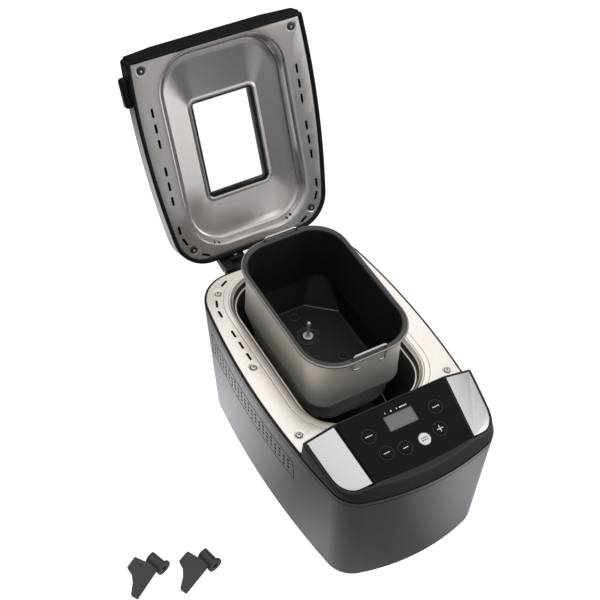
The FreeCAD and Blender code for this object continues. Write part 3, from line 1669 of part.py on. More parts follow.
def paddle_shape():
    """Hub along X from the origin, blade toward -Y."""
    reach = num(s.paddle_reach)
    length = num(s.paddle_hub_length)
    thick = num(s.paddle_blade)
    hub = Part.makeCylinder(num(s.paddle_hub_radius), length, Vector(), Vector(1, 0, 0))
    collar = num(s.paddle_flange)
    start = Vector(length - collar, 0, 0)
    flange = Part.makeCylinder(num(s.paddle_flange_radius), collar, start, Vector(1, 0, 0))
    outline = [
        (0.03 * length, 0),
        (0.03 * length, 0.17 * reach),
        (-0.59 * length, 0.24 * reach),
        (-0.49 * length, 0.56 * reach),
        (-0.04 * length, 0.62 * reach),
        (0.3 * length, 0.75 * reach),
        (0.69 * length, reach),
        (1.06 * length, 0.97 * reach),
        (0.78 * length, 0.18 * reach),
        (0.78 * length, 0),
    ]
    polygon = Part.makePolygon([Vector(x, -y, -thick / 2) for x, y in outline + outline[:1]])
    blade = Part.Face(polygon).extrude(Vector(0, 0, thick))
    corners = vertical_edges(blade, lambda end: end.y < -0.2 * reach)
    blade = blade.makeFillet(num(s.paddle_corner), corners)
    bore_radius = num(s.spindle_radius + s.paddle_bore_gap)
    bore = Part.makeCylinder(bore_radius, length, Vector(), Vector(1, 0, 0))
    return hub.fuse([flange, blade]).cut(bore).removeSplitter()


def make_paddles():
    drop = num(s.paddle_flange_radius) - num(s.paddle_blade) / 2
    droop = math.degrees(math.asin(drop / num(s.paddle_reach))) - 0.3
    lie = FreeCAD.Rotation(Vector(1, 0, 0), droop)
    left = (s.paddle_left_x, s.paddle_left_y, s.paddle_left_turn, "paddle_left")
    right = (s.paddle_right_x, s.paddle_right_y, s.paddle_right_turn, "paddle_right")
    for x, y, angle, label in (left, right):
        turn = FreeCAD.Rotation(Vector(0, 0, 1), num(angle)).multiply(lie)
        feature(label, paddle_shape(), FreeCAD.Placement(point(x, y, s.paddle_flange_radius), turn))


for make in (
    make_feet,
    make_base,
    make_casing,
    make_gland,
    make_deck,
    make_chamber,
    make_clips,
    make_heater,
    make_drive,
    make_motor,
    make_power_board,
    make_pan,
    make_spindle,
    make_grips,
    make_lid,
    make_hinges,
    make_panel,
    make_buttons,
    make_paddles,
):
    make()

doc.recompute()
for piece in doc.Objects:
    if {"Invalid", "Error"} & set(piece.State):
        raise RuntimeError(f"{piece.Label} failed: {piece.State}")
os.makedirs("parts", exist_ok=True)
for piece in NODES:
    if piece.Shape.isNull() or not piece.Shape.isValid():
        raise RuntimeError(f"{piece.Label} has no valid shape")
    piece.Shape.exportStep(f"parts/{piece.Label}.step")
    print(piece.Label, len(piece.Shape.Solids), round(piece.Shape.Volume))
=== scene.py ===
import math

import bmesh
import bpy
from mathutils import Matrix, Vector


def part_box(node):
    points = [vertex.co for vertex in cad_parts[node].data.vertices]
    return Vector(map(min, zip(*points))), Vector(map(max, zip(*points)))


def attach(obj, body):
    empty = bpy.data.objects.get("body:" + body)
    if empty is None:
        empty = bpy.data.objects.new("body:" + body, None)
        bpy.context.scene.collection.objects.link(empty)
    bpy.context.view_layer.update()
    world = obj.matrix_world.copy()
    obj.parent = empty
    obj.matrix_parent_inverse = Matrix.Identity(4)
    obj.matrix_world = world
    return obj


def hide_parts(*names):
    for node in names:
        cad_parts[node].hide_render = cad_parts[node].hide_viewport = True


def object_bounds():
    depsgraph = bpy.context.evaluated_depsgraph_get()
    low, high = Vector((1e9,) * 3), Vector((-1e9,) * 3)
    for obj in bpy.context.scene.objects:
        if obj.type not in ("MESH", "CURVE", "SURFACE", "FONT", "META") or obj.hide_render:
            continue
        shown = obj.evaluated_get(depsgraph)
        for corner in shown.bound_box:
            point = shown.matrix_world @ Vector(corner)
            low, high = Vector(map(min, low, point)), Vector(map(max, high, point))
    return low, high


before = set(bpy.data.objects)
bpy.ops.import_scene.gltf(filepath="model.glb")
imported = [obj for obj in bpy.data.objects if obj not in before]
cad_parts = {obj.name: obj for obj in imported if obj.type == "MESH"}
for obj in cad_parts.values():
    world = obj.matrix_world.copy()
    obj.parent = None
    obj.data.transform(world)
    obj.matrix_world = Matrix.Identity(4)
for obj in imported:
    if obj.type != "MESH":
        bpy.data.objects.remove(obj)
cad_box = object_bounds()

# Sizes are in millimetres, and become metres where a mesh is made.
MM = 0.001


# Outlines: closed plans of four bowed sides and four rounded corners


def circle_through(first, middle, last):
    """Centre and radius of the circle through three points; a straight side gets a very large circle."""
    (ax, ay), (bx, by), (cx, cy) = first, middle, last
    area = ax * (by - cy) + bx * (cy - ay) + cx * (ay - by)
    if abs(area) < 1e-6:
        length = math.hypot(cx - ax, cy - ay)
        out = ((cy - ay) / length, -(cx - ax) / length)
        return circle_through(first, (bx + out[0] * 1e-3, by + out[1] * 1e-3), last)
    a2, b2, c2 = ax * ax + ay * ay, bx * bx + by * by, cx * cx + cy * cy
    x = (a2 * (by - cy) + b2 * (cy - ay) + c2 * (ay - by)) / (2 * area)
    y = (a2 * (cx - bx) + b2 * (ax - cx) + c2 * (bx - ax)) / (2 * area)
    return (x, y), math.hypot(ax - x, ay - y)


def circles_meet(first, first_radius, second, second_radius, near):
    """The meeting point of two circles that lies nearest to a given point."""
    dx, dy = second[0] - first[0], second[1] - first[1]
    apart = math.hypot(dx, dy)
    along = (first_radius**2 - second_radius**2 + apart**2) / (2 * apart)
    aside = math.sqrt(max(first_radius**2 - along**2, 0))
    foot = (first[0] + along * dx / apart, first[1] + along * dy / apart)
    meets = [(foot[0] - k * aside * dy / apart, foot[1] + k * aside * dx / apart) for k in (1, -1)]
    return min(meets, key=lambda point: math.dist(point, near))


def arc_points(centre, radius, start, end, count):
    """Points along the shorter arc from one point to another, the last left out."""
    first = math.atan2(start[1] - centre[1], start[0] - centre[0])
    turn = math.atan2(end[1] - centre[1], end[0] - centre[0]) - first
    turn = (turn + math.pi) % (2 * math.pi) - math.pi
    angles = [first + turn * index / count for index in range(count)]
    return [(centre[0] + radius * math.cos(a), centre[1] + radius * math.sin(a)) for a in angles]


class Outline:
    """A plan that can be drawn in by any inset, always with the same number of points."""

    SIDE_STEPS = 22
    CORNER_STEPS = 12
    LEAST_RADIUS = 0.4

    def __init__(self, corners, bows, radii):
        self.corners = corners
        self.sides = [circle_through(corners[i], bows[i], corners[(i + 1) % 4]) for i in range(4)]
        self.radii = radii

    def loop(self, inset, z):
        """Points of the plan, drawn in by inset, at a height, in metres."""
        fillets = []
        for index in range(4):
            radius = max(self.radii[index] - inset, self.LEAST_RADIUS)
            sides = (self.sides[index - 1], self.sides[index])
            before, after = [(hub, hub_radius - inset - radius) for hub, hub_radius in sides]
            centre = circles_meet(*before, *after, self.corners[index])
            ends = []
            for hub, hub_radius in sides:
                scale = (hub_radius - inset) / math.dist(hub, centre)
                ends.append((hub[0] + (centre[0] - hub[0]) * scale, hub[1] + (centre[1] - hub[1]) * scale))
            fillets.append((centre, radius, ends))
        flat = []
        for index in range(4):
            centre, radius, ends = fillets[index]
            flat += arc_points(centre, radius, ends[0], ends[1], self.CORNER_STEPS)
            hub, hub_radius = self.sides[index]
            after = fillets[(index + 1) % 4][2][0]
            flat += arc_points(hub, hub_radius - inset, ends[1], after, self.SIDE_STEPS)
        return [Vector((x, y, z)) * MM for x, y in flat]

    def rows(self, section):
        """Loops for a section of inset and height."""
        return [self.loop(inset, z) for inset, z in section]


def bowed(half_back, half_middle, half_front, back, middle, corner, front, back_radius, front_radius):
    """A plan with bowed sides, symmetric in X."""
    corners = [(half_back, back), (-half_back, back), (-half_front, corner), (half_front, corner)]
    bows = [(0, back), (-half_middle, middle), (0, front), (half_middle, middle)]
    return Outline(corners, bows, [back_radius, back_radius, front_radius, front_radius])


def rectangle(half, front, back, radius):
    """A plan with straight sides and four equal corners."""
    return bowed(half, half, half, back, (front + back) / 2, front, front, radius, radius)


def block(x, y, half_x, half_y):
    """The corners of a rectangle about a point."""
    turns = ((1, 1), (-1, 1), (-1, -1), (1, -1))
    return [(x + right * half_x, y + up * half_y) for right, up in turns]


def octagon_loop(half, front, back, cut_x, cut_y, z):
    """A rectangle with cut corners, with as many points as an Outline's loop."""
    cuts = [
        ((half, back - cut_y), (half - cut_x, back)),
        ((cut_x - half, back), (-half, back - cut_y)),
        ((-half, front + cut_y), (cut_x - half, front)),
        ((half - cut_x, front), (half, front + cut_y)),
    ]
    flat = []
    for index, (start, end) in enumerate(cuts):
        following = cuts[(index + 1) % 4][0]
        for (a, b), count in (((start, end), Outline.CORNER_STEPS), ((end, following), Outline.SIDE_STEPS)):
            for step in range(count):
                x = a[0] + (b[0] - a[0]) * step / count
                y = a[1] + (b[1] - a[1]) * step / count
                flat.append((x, y))
    return [Vector((x, y, z)) * MM for x, y in flat]


def rounded_section(points, radius, steps=5):
    """A section line of inset and height with its inner corners rounded."""
    line = [points[0]]
    for before, corner, after in zip(points, points[1:], points[2:]):
        into = Vector(corner) - Vector(before)
        out = Vector(after) - Vector(corner)
        trim = min(radius, into.length * 0.45, out.length * 0.45)
        start = Vector(corner) - into.normalized() * trim
        end = Vector(corner) + out.normalized() * trim
        for step in range(steps + 1):
            share = step / steps
            line.append(start.lerp(Vector(corner), share).lerp(Vector(corner).lerp(end, share), share))
    return [tuple(point) for point in line + [points[-1]]]


def between(first, second, shares):
    """Rows of points part of the way from one row to another."""
    return [[a.lerp(b, share) for a, b in zip(first, second)] for share in shares]


# Mesh makers


def to_mesh(name, bm):
    """A mesh from a bmesh, which it frees."""
    mesh = bpy.data.meshes.new(name)
    bm.to_mesh(mesh)
    bm.free()
    return mesh


def add_object(name, data):
    """A new object in the scene."""
    obj = bpy.data.objects.new(name, data)
    bpy.context.scene.collection.objects.link(obj)
    return obj


def smooth_faces(mesh, sharp):
    """Smooth faces, with edges sharp past an angle."""
    for polygon in mesh.polygons:
        polygon.use_smooth = True
    mesh.set_sharp_from_angle(angle=math.radians(sharp))


def piece(name, bm, materials, body, smooth=35, place=None):
    """Turns a bmesh into a named piece that rides on a body."""
    bmesh.ops.recalc_face_normals(bm, faces=bm.faces)
    mesh = to_mesh(name, bm)
    if place:
        mesh.transform(place)
    for material in materials:
        mesh.materials.append(material)
    smooth_faces(mesh, smooth)
    obj = add_object(name, mesh)
    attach(obj, body)
    return obj


def skin(loops, ring=False, caps=(False, False), slots=None):
    """Faces between rows of points: a ring closes on its first row, caps fill the end rows."""
    bm = bmesh.new()
    rows = [[bm.verts.new(point) for point in loop] for loop in loops]
    pairs = list(zip(rows, rows[1:]))
    if ring:
        pairs.append((rows[-1], rows[0]))
    count = len(rows[0])
    for number, (low, high) in enumerate(pairs):
        for index in range(count):
            ahead = (index + 1) % count
            face = bm.faces.new((low[index], low[ahead], high[ahead], high[index]))
            face.material_index = slots[number] if slots else 0
    if caps[0]:
        bm.faces.new(rows[0]).material_index = slots[0] if slots else 0
    if caps[1]:
        bm.faces.new(rows[-1]).material_index = slots[-1] if slots else 0
    return bm


def circle(radius, z, segments=48, x=0, y=0):
    """Points round a circle about an upright axis, in metres."""
    angles = [2 * math.pi * k / segments for k in range(segments)]
    return [Vector((x + radius * math.cos(a), y + radius * math.sin(a), z)) * MM for a in angles]


def turned(profile, segments=40):
    """A closed body turned about Z from a profile of radius and height, in millimetres."""
    return skin([circle(radius, z, segments) for radius, z in profile], caps=(True, True))


def ridge(radius, width, height, low):
    """A low rounded ring about Z, lying on a floor."""
    shoulder = height * 0.8
    section = [(-width, 0), (-width * 0.5, shoulder), (0, height), (width * 0.5, shoulder), (width, 0)]
    return skin([circle(radius + out, low + rise) for out, rise in section], ring=True)


def draw_out(bm, face, way):
    """A face drawn out to a solid."""
    grown = bmesh.ops.extrude_face_region(bm, geom=[face])
    tops = [item for item in grown["geom"] if isinstance(item, bmesh.types.BMVert)]
    bmesh.ops.translate(bm, verts=tops, vec=way)


def bar(outline, low, high, edge=0.0, segments=3):
    """A flat outline stretched between two heights, with softened edges, in millimetres."""
    bm = bmesh.new()
    base = bm.faces.new([bm.verts.new(Vector((x, y, low)) * MM) for x, y in outline])
    draw_out(bm, base, Vector((0, 0, (high - low) * MM)))
    if edge:
        soften(bm, edge, segments)
    return bm


def soften(bm, width, segments=3, angle=30):
    """Rounds every edge sharper than an angle."""
    bmesh.ops.recalc_face_normals(bm, faces=bm.faces)
    joints = [edge for edge in bm.edges if len(edge.link_faces) == 2]
    edges = [edge for edge in joints if edge.calc_face_angle() > math.radians(angle)]
    bmesh.ops.bevel(
        bm, geom=edges, offset=width * MM, segments=segments, profile=0.5, affect="EDGES", clamp_overlap=True
    )


def merge(parts):
    """Several bmeshes as one."""
    whole = bmesh.new()
    for part in parts:
        mesh = to_mesh("part", part)
        whole.from_mesh(mesh)
        bpy.data.meshes.remove(mesh)
    return whole


def moved(bm, matrix):
    """A bmesh carried to another place."""
    bm.transform(matrix)
    return bm


def at(x, y, z, turn=0, axis="Z"):
    """A place in millimetres, with a turn in degrees."""
    return Matrix.Translation(Vector((x, y, z)) * MM) @ Matrix.Rotation(math.radians(turn), 4, axis)


def turned_at(places, profile, segments=40):
    """A turned body at each of several places."""
    return [moved(turned(profile, segments), at(x, y, 0)) for x, y in places]


def tube(points, radius, sides=8):
    """A round wire along a line of points, in millimetres."""
    path = [Vector(point) * MM for point in points]
    loops = []
    across = Vector((0, 1, 0))
    for index, centre in enumerate(path):
        along = (path[min(index + 1, len(path) - 1)] - path[max(index - 1, 0)]).normalized()
        up = along.cross(across).normalized()
        angles = [2 * math.pi * k / sides for k in range(sides)]
        loops.append([centre + (across * math.cos(a) + up * math.sin(a)) * radius * MM for a in angles])
    return skin(loops, caps=(True, True))


def pierce(obj, cutters, sharp=15):
    """Cuts a set of closed shapes out of a piece."""
    tool = merge(cutters)
    bmesh.ops.recalc_face_normals(tool, faces=tool.faces)
    cutter = add_object("cutter", to_mesh("cutter", tool))
    modifier = obj.modifiers.new("holes", "BOOLEAN")
    modifier.object = cutter
    modifier.solver = "EXACT"
    whole = bpy.data.meshes.new_from_object(obj.evaluated_get(bpy.context.evaluated_depsgraph_get()))
    obj.modifiers.clear()
    obj.data = whole
    bpy.data.objects.remove(cutter)
    smooth_faces(whole, sharp)


# Materials


def srgb(red, green, blue):
    """A screen colour from 0 to 255 as a linear colour."""
    linear = [((v / 255 + 0.055) / 1.055) ** 2.4 if v > 10 else v / 255 / 12.92 for v in (red, green, blue)]
    return (*linear, 1.0)


def new_material(name):
    """An empty surface and the parts of its node tree."""
    material = bpy.data.materials.new(name)
    material.use_nodes = True
    tree = material.node_tree
    return material, tree.nodes, tree.links, tree.nodes["Principled BSDF"]


def preset(node, values):
    """A node with some of its inputs set."""
    for key, value in values.items():
        node.inputs[key].default_value = value
    return node


RELIEF_DEPTH = 0.0004
LEAST_ROUGHNESS = 0.02
COAT_ROUGHNESS = 0.08
GRAIN_DETAIL = 5
GRAIN_LOW = 0.3
GRAIN_HIGH = 0.7


def finish(
    name, colour, metallic=0.0, roughness=0.5, grain=(1, 1, 1), scale=500,
    tone=0.08, rough=0.08, relief=0.06, coat=0.0, specular=0.5,
):
    """A surface with tone, gloss and relief from one grain."""
    material, nodes, links, shader = new_material(name)
    preset(shader, {"Metallic": metallic, "Specular IOR Level": specular})
    preset(shader, {"Coat Weight": coat, "Coat Roughness": COAT_ROUGHNESS})
    where = nodes.new("ShaderNodeTexCoord")
    stretch = preset(nodes.new("ShaderNodeMapping"), {"Scale": grain})
    noise = preset(nodes.new("ShaderNodeTexNoise"), {"Scale": scale, "Detail": GRAIN_DETAIL})
    links.new(where.outputs["Object"], stretch.inputs["Vector"])
    links.new(stretch.outputs["Vector"], noise.inputs["Vector"])
    ramp = nodes.new("ShaderNodeValToRGB")
    dark, light = ramp.color_ramp.elements
    dark.position = GRAIN_LOW
    light.position = GRAIN_HIGH
    dark.color = [channel * (1 - tone) for channel in colour[:3]] + [1]
    light.color = [min(channel * (1 + tone), 1) for channel in colour[:3]] + [1]
    links.new(noise.outputs["Fac"], ramp.inputs["Fac"])
    links.new(ramp.outputs["Color"], shader.inputs["Base Color"])
    gloss = nodes.new("ShaderNodeMapRange")
    preset(gloss, {"To Min": max(roughness - rough, LEAST_ROUGHNESS), "To Max": roughness + rough})
    links.new(noise.outputs["Fac"], gloss.inputs["Value"])
    links.new(gloss.outputs["Result"], shader.inputs["Roughness"])
    bump = preset(nodes.new("ShaderNodeBump"), {"Strength": relief, "Distance": RELIEF_DEPTH})
    links.new(noise.outputs["Fac"], bump.inputs["Height"])
    links.new(bump.outputs["Normal"], shader.inputs["Normal"])
    return material


# Metals

BRUSHED = {"grain": (40, 2, 40), "scale": 60, "relief": 0.05}
DECK = finish("deck_steel", srgb(236, 230, 225), metallic=0.9, roughness=0.3, **BRUSHED)
LID_STEEL = finish("lid_steel", srgb(192, 188, 186), metallic=0.92, roughness=0.22, **BRUSHED)
COMBED = {"grain": (60, 3, 60), "scale": 50}
SILVER = finish("silver_plate", srgb(214, 214, 215), metallic=0.9, roughness=0.42, **COMBED)
PAN_OUT = finish("pan_aluminium", srgb(216, 212, 205), metallic=0.55, roughness=0.38, scale=700)
RIM_BEAD = finish("rim_bead", srgb(150, 148, 145), metallic=0.6, roughness=0.35, scale=900)
TUB = finish("tub_coat", srgb(92, 91, 90), metallic=0.4, scale=300)
CHROME = finish("bright_steel", srgb(190, 188, 185), metallic=1.0, roughness=0.18, scale=400, rough=0.04)
# Light grey for the line across the pan floor's back right corner: a painted highlight
CORNER_HIGHLIGHT = finish("corner_highlight", srgb(168, 168, 168), metallic=0.4, roughness=0.4, scale=300, tone=0.3)
WASHER = finish("washer_metal", srgb(232, 230, 228), metallic=0.35, roughness=0.3)
SCREW = finish("screw_steel", srgb(228, 226, 223), metallic=0.4, roughness=0.28)
STEEL = finish("plain_steel", srgb(160, 158, 155), metallic=1.0, roughness=0.34, scale=600)
BRONZE = finish("bronze", srgb(170, 130, 80), metallic=1.0, roughness=0.4, scale=600)

# Coats, plastics and rubber

FLECKED = {"scale": 1500, "tone": 0.2, "relief": 0.12}
NONSTICK = finish("nonstick", srgb(25, 25, 26), roughness=0.55, specular=0.35, **FLECKED)
# A darker copy of the nonstick for the pan's sloping lower band: painted shade
SHADED_SLOPE_COAT = finish("shaded_slope_coat", srgb(15, 15, 16), roughness=0.6, specular=0.2, **FLECKED)
PADDLE = finish("paddle_coat", srgb(52, 52, 53), roughness=0.4, **FLECKED)
RIM_COAT = finish("rim_coat", srgb(62, 62, 63), roughness=0.38, scale=1500, tone=0.12, relief=0.1)
CASING = finish("casing_satin", srgb(28, 26, 30), roughness=0.3, scale=900, tone=0.05)
BLACK = finish(
    "black_plastic", srgb(14, 14, 15), roughness=0.4, scale=1200, tone=0.1, relief=0.1, specular=0.2
)
BAND = finish("band_plastic", srgb(24, 24, 25), roughness=0.45, scale=1400, relief=0.1, specular=0.45)
SMOOTH = {"scale": 300, "tone": 0.05, "rough": 0.03}
RIM_GLOSS = finish("rim_gloss", srgb(16, 16, 18), roughness=0.22, relief=0.02, specular=0.4, **SMOOTH)
SCREEN = finish("screen", srgb(104, 106, 108), roughness=0.2, relief=0.0, coat=0.3, **SMOOTH)
GLOSS = finish(
    "gloss_black", srgb(9, 9, 12), roughness=0.1, scale=200, tone=0.05, rough=0.02, relief=0.0, specular=0.12
)
GREY = finish("grey_plastic", srgb(86, 86, 88), scale=900, relief=0.1)
PALE = finish("pale_button", srgb(226, 226, 228), roughness=0.3, scale=700, tone=0.03, coat=0.3)
PRINT = finish("print_white", srgb(225, 225, 226), scale=900)
RUBBER = finish("rubber", srgb(28, 28, 29), roughness=0.75, scale=900, relief=0.2)
BOARD = finish("board_green", srgb(30, 92, 52), scale=800)
CERAMIC = finish("ceramic", srgb(222, 216, 205), roughness=0.55, scale=800)


def clear_glass():
    """The lid window's glass, with a faint unevenness."""
    material, nodes, links, shader = new_material("clear_glass")
    preset(shader, {"Transmission Weight": 1.0, "IOR": 1.45, "Base Color": (0.97, 0.98, 0.98, 1)})
    noise = preset(nodes.new("ShaderNodeTexNoise"), {"Scale": 30})
    spread = preset(nodes.new("ShaderNodeMapRange"), {"To Min": 0.0, "To Max": 0.04})
    links.new(noise.outputs["Fac"], spread.inputs["Value"])
    links.new(spread.outputs["Result"], shader.inputs["Roughness"])
    return material


GLASS = clear_glass()

# Looks of the solid pieces

CAD_LOOKS = [
    (CASING, ["outer_casing", "vent_grilles", "lid_shell"]),
    (BLACK, ["mains_gland", "top_frame", "hinge_brackets", "lid_hinge_blocks"]),
    (BLACK, ["lid_front_trim", "lid_handle", "window_frame"]),
    (DECK, ["top_deck"]),
    (LID_STEEL, ["lid_panel"]),
    (GLASS, ["lid_window"]),
    (TUB, ["baking_chamber", "pan_seat_ring"]),
    (STEEL, ["base_plate", "chamber_legs", "heating_element", "element_clips", "temperature_sensor"]),
    (STEEL, ["bearing_housing", "drive_dog", "motor_body", "motor_bracket", "pan_coupling"]),
    (CHROME, ["deck_screws", "lid_screws", "hinge_pins", "pan_clips", "drive_shaft", "motor_shaft"]),
    (CHROME, ["pan_bearing", "pan_spindle", "pan_handle_front", "pan_handle_rear"]),
    (BRONZE, ["drive_bushes"]),
    (CERAMIC, ["element_terminals"]),
    (RUBBER, ["rubber_feet", "drive_belt", "lid_gasket"]),
    (GREY, ["large_pulley", "motor_pulley", "lcd_module"]),
    (BOARD, ["power_board", "control_board"]),
    (BAND, ["control_bezel"]),
    (SILVER, ["side_plates"]),
    (SCREEN, ["lcd_window"]),
    (GLOSS, ["panel_fascia", "menu_button", "minus_button", "loaf_button", "plus_button", "colour_button"]),
    (PALE, ["start_button"]),
    (PAN_OUT, ["bread_pan", "pan_foot"]),
    (NONSTICK, ["pan_rivets"]),
    (PADDLE, ["paddle_left", "paddle_right"]),
]
for material, names in CAD_LOOKS:
    for name in names:
        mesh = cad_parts[name].data
        mesh.materials.clear()
        mesh.materials.append(material)


# Shared places, in millimetres

HINGE = Vector((0, 111.1, 147.1)) * MM
LID_OPEN = 114.5
LID_SWING = Matrix.Rotation(math.radians(-LID_OPEN), 4, "X")
LID = Matrix.Translation(HINGE) @ LID_SWING @ Matrix.Translation(-HINGE)
PANEL_BACK = -168.7
PANEL_TOP = 189.4
PANEL_TILT = 14.64
PANEL = at(0, PANEL_BACK, PANEL_TOP, PANEL_TILT, "X")
MIDDLE = -72.4
TOP_HALF = 114
TOP_BACK = 100.3
TOP_BACK_HALF = 97
BACK_RADIUS = 45
FRONT_CORNER = -243
FRONT = -260.4
FRONT_RADIUS = 34
BODY_ENDS = (FRONT_CORNER, FRONT, BACK_RADIUS, FRONT_RADIUS)
TOP = bowed(TOP_BACK_HALF, TOP_HALF, 97.5, TOP_BACK, MIDDLE, *BODY_ENDS)
LID_PLAN = bowed(97.5, TOP_HALF, 111.2, 98.6, MIDDLE, -165, -165, 44, 4)
OPENING = rectangle(75, -152.4, 83.6, 46)
DISH = rectangle(79, -157.4, 82.6, 46)
WINDOW = rectangle(40, -93.2, 27.1, 6)

# Air slots and screws of the deck and the lid

SLOT_SIDE = 93.5
SLOT_ARC = 50
SLOT_ARC_Y = 43
SLOT_PITCH = 18.6
SLOT_ANGLES = (3, 22, 61)
SLOTS_IN_ROW = 3
SLOT_HALF = 4.2
SLOT_RADIUS = 1.5
SCREW_ANGLE = 41
SCREW_PROFILE = [(3.1, 0), (3.2, 0.35), (2.9, 0.75), (2.2, 1.05), (1.2, 1.2), (0.4, 1.24)]
SCREW_SIDES = 28
CROSS_TURN = 30
CROSS = [(0.45, 0.45), (0.45, 1.9), (-0.45, 1.9), (-0.45, 0.45), (-1.9, 0.45), (-1.9, -0.45)]
CROSS += [(-x, -y) for x, y in CROSS]
RECESS_RISES = (0.55, 2)
SHADE_RISES = (0.5, 0.65)
SHADE_RING = {"radius": 3.6, "width": 0.45, "height": 0.3}
DIMPLE_FLOOR = 3.7
DIMPLE_MOUTH = 6.2


def arc_place(angle):
    """A place on the arc of slots round the back right corner."""
    turn = math.radians(angle)
    return SLOT_SIDE - SLOT_ARC + SLOT_ARC * math.cos(turn), SLOT_ARC_Y + SLOT_ARC * math.sin(turn)


def both(places):
    """Places on the right, each with its mirror on the left."""
    return [(side * x, y) for x, y in places for side in (1, -1)]


def half_turn(start, steps=8):
    """Angles of half a circle, from a start in degrees."""
    return [math.radians(start + 180 * k / steps) for k in range(steps + 1)]


def slot_cutters(firsts, low, high):
    """Round-ended air slots: straight rows, and three round each back corner."""
    places = [(SLOT_SIDE, first - SLOT_PITCH * k, 90) for first in firsts for k in range(SLOTS_IN_ROW)]
    places += [(*arc_place(angle), angle + 90) for angle in SLOT_ANGLES]
    places += [(-x, y, 180 - angle) for x, y, angle in places]
    ends = [(SLOT_HALF + SLOT_RADIUS * math.cos(a), SLOT_RADIUS * math.sin(a)) for a in half_turn(-90)]
    ends += [(-SLOT_HALF + SLOT_RADIUS * math.cos(a), SLOT_RADIUS * math.sin(a)) for a in half_turn(90)]
    return [moved(bar(ends, low, high), at(x, y, 0, angle)) for x, y, angle in places]


def crosses(places, seat, up, rises):
    """Cross shapes over the seats of screws, between two rises."""
    low, high = sorted(seat + up * rise for rise in rises)
    return [moved(bar(CROSS, low, high), at(x, y, 0, CROSS_TURN)) for x, y in places]


def screw_heads(name, places, seat, up, body):
    """Domed screw heads with a cross recess, standing up or hanging down from a seat."""
    profile = [(radius, seat + up * rise) for radius, rise in SCREW_PROFILE]
    obj = piece(name, merge(turned_at(places, profile, SCREW_SIDES)), [SCREW], body)
    pierce(obj, crosses(places, seat, up, RECESS_RISES))
    return obj


def screw_shades(name, places, seat, body):
    """Painted shade: a dark ring round each upright screw and a dark floor in its cross recess."""
    shades = [moved(ridge(**SHADE_RING, low=seat), at(x, y, 0)) for x, y in places]
    shades += crosses(places, seat, 1, SHADE_RISES)
    shade = piece(name, merge(shades), [BLACK], body)


def dimples(places, low, high):
    """Countersunk seats round the screws, from a narrow floor to a wide mouth."""
    depth = high - low
    profile = [(DIMPLE_FLOOR, low), (DIMPLE_FLOOR + 0.5, low + depth * 0.15)]
    profile += [(DIMPLE_MOUTH, high), (DIMPLE_MOUTH, high + depth)]
    return turned_at(places, profile, SCREW_SIDES)


# Top deck

DECK_FRONT = -168.4
DECK_ENDS = (DECK_FRONT, DECK_FRONT, BACK_RADIUS, 0.5)
DECK_TOP = 158
DECK_SEAT = 157.3
DECK_SCREWS = both([arc_place(SCREW_ANGLE), (95.8, -40.9), (95.8, -144.9)])


def deck_outline():
    """The body's plan, cut straight across where the control housing begins."""
    (centre_x, centre_y), radius = TOP.sides[3]
    half_front = centre_x + math.sqrt(radius**2 - (DECK_FRONT - centre_y) ** 2)
    return bowed(TOP_BACK_HALF, TOP_HALF, half_front, TOP_BACK, MIDDLE, *DECK_ENDS)


def make_deck():
    edge = [(2.6, 156.9), (2.6, 157.5), (2.8, 157.85), (3.3, DECK_TOP)]
    lip = [(13.2, DECK_TOP), (12.2, DECK_TOP), (11.5, 157.4), (10.6, 157.5), (6.2, 157.5), (5.3, 156.8)]
    lip += [(3.9, 156.6), (1.2, 153.4), (0.2, 152.9), (0.9, 152.2), (2.2, 152.6)]
    lip = rounded_section(lip, 0.5, 3)
    under = [(5.2, 155.8), (7, 156.7), (13, 156.9)]
    loops = deck_outline().rows(edge) + [OPENING.loop(-grow, z) for grow, z in lip + under]
    deck = piece("deck_plate", skin(loops, ring=True), [DECK], "machine")
    slots = slot_cutters([11.9], DECK_TOP - 8, DECK_TOP + 2)
    pierce(deck, slots + dimples(DECK_SCREWS, DECK_SEAT, DECK_TOP + 0.05))
    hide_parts("top_deck")
    screws = screw_heads("deck_screw_heads", DECK_SCREWS, DECK_SEAT, 1, "machine")
    screw_shades("deck_screw_heads_shade", DECK_SCREWS, DECK_SEAT, "machine")
    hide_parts("deck_screws")


# Bright bead round the mouth of the baking chamber

CHAMBER = rectangle(72, -149.4, 80.6, 43)


def make_chamber_bead():
    section = [(-1.6, 146.1), (-1.5, 146.7), (-0.7, 147.2), (0.3, 147.2)]
    section += [(1, 146.6), (1, 145.8), (0.3, 145.3)]
    shape = skin(CHAMBER.rows(section), ring=True)
    bead = piece("chamber_bead", shape, [DECK], "machine", smooth=60)


# Lid liner with its dish, window lip, slots and screws

LID_SCREWS = both([arc_place(SCREW_ANGLE), (95.5, -150.2)])
LID_HOLES = both([(47, 78.6), (52.3, 76.3)])
LID_HOLE_PROFILE = [(1.2, 162), (1.2, 176)]
LINER_Z = 161
LINER_SEAT = LINER_Z + 0.7
WINDOW_Z = 179.2


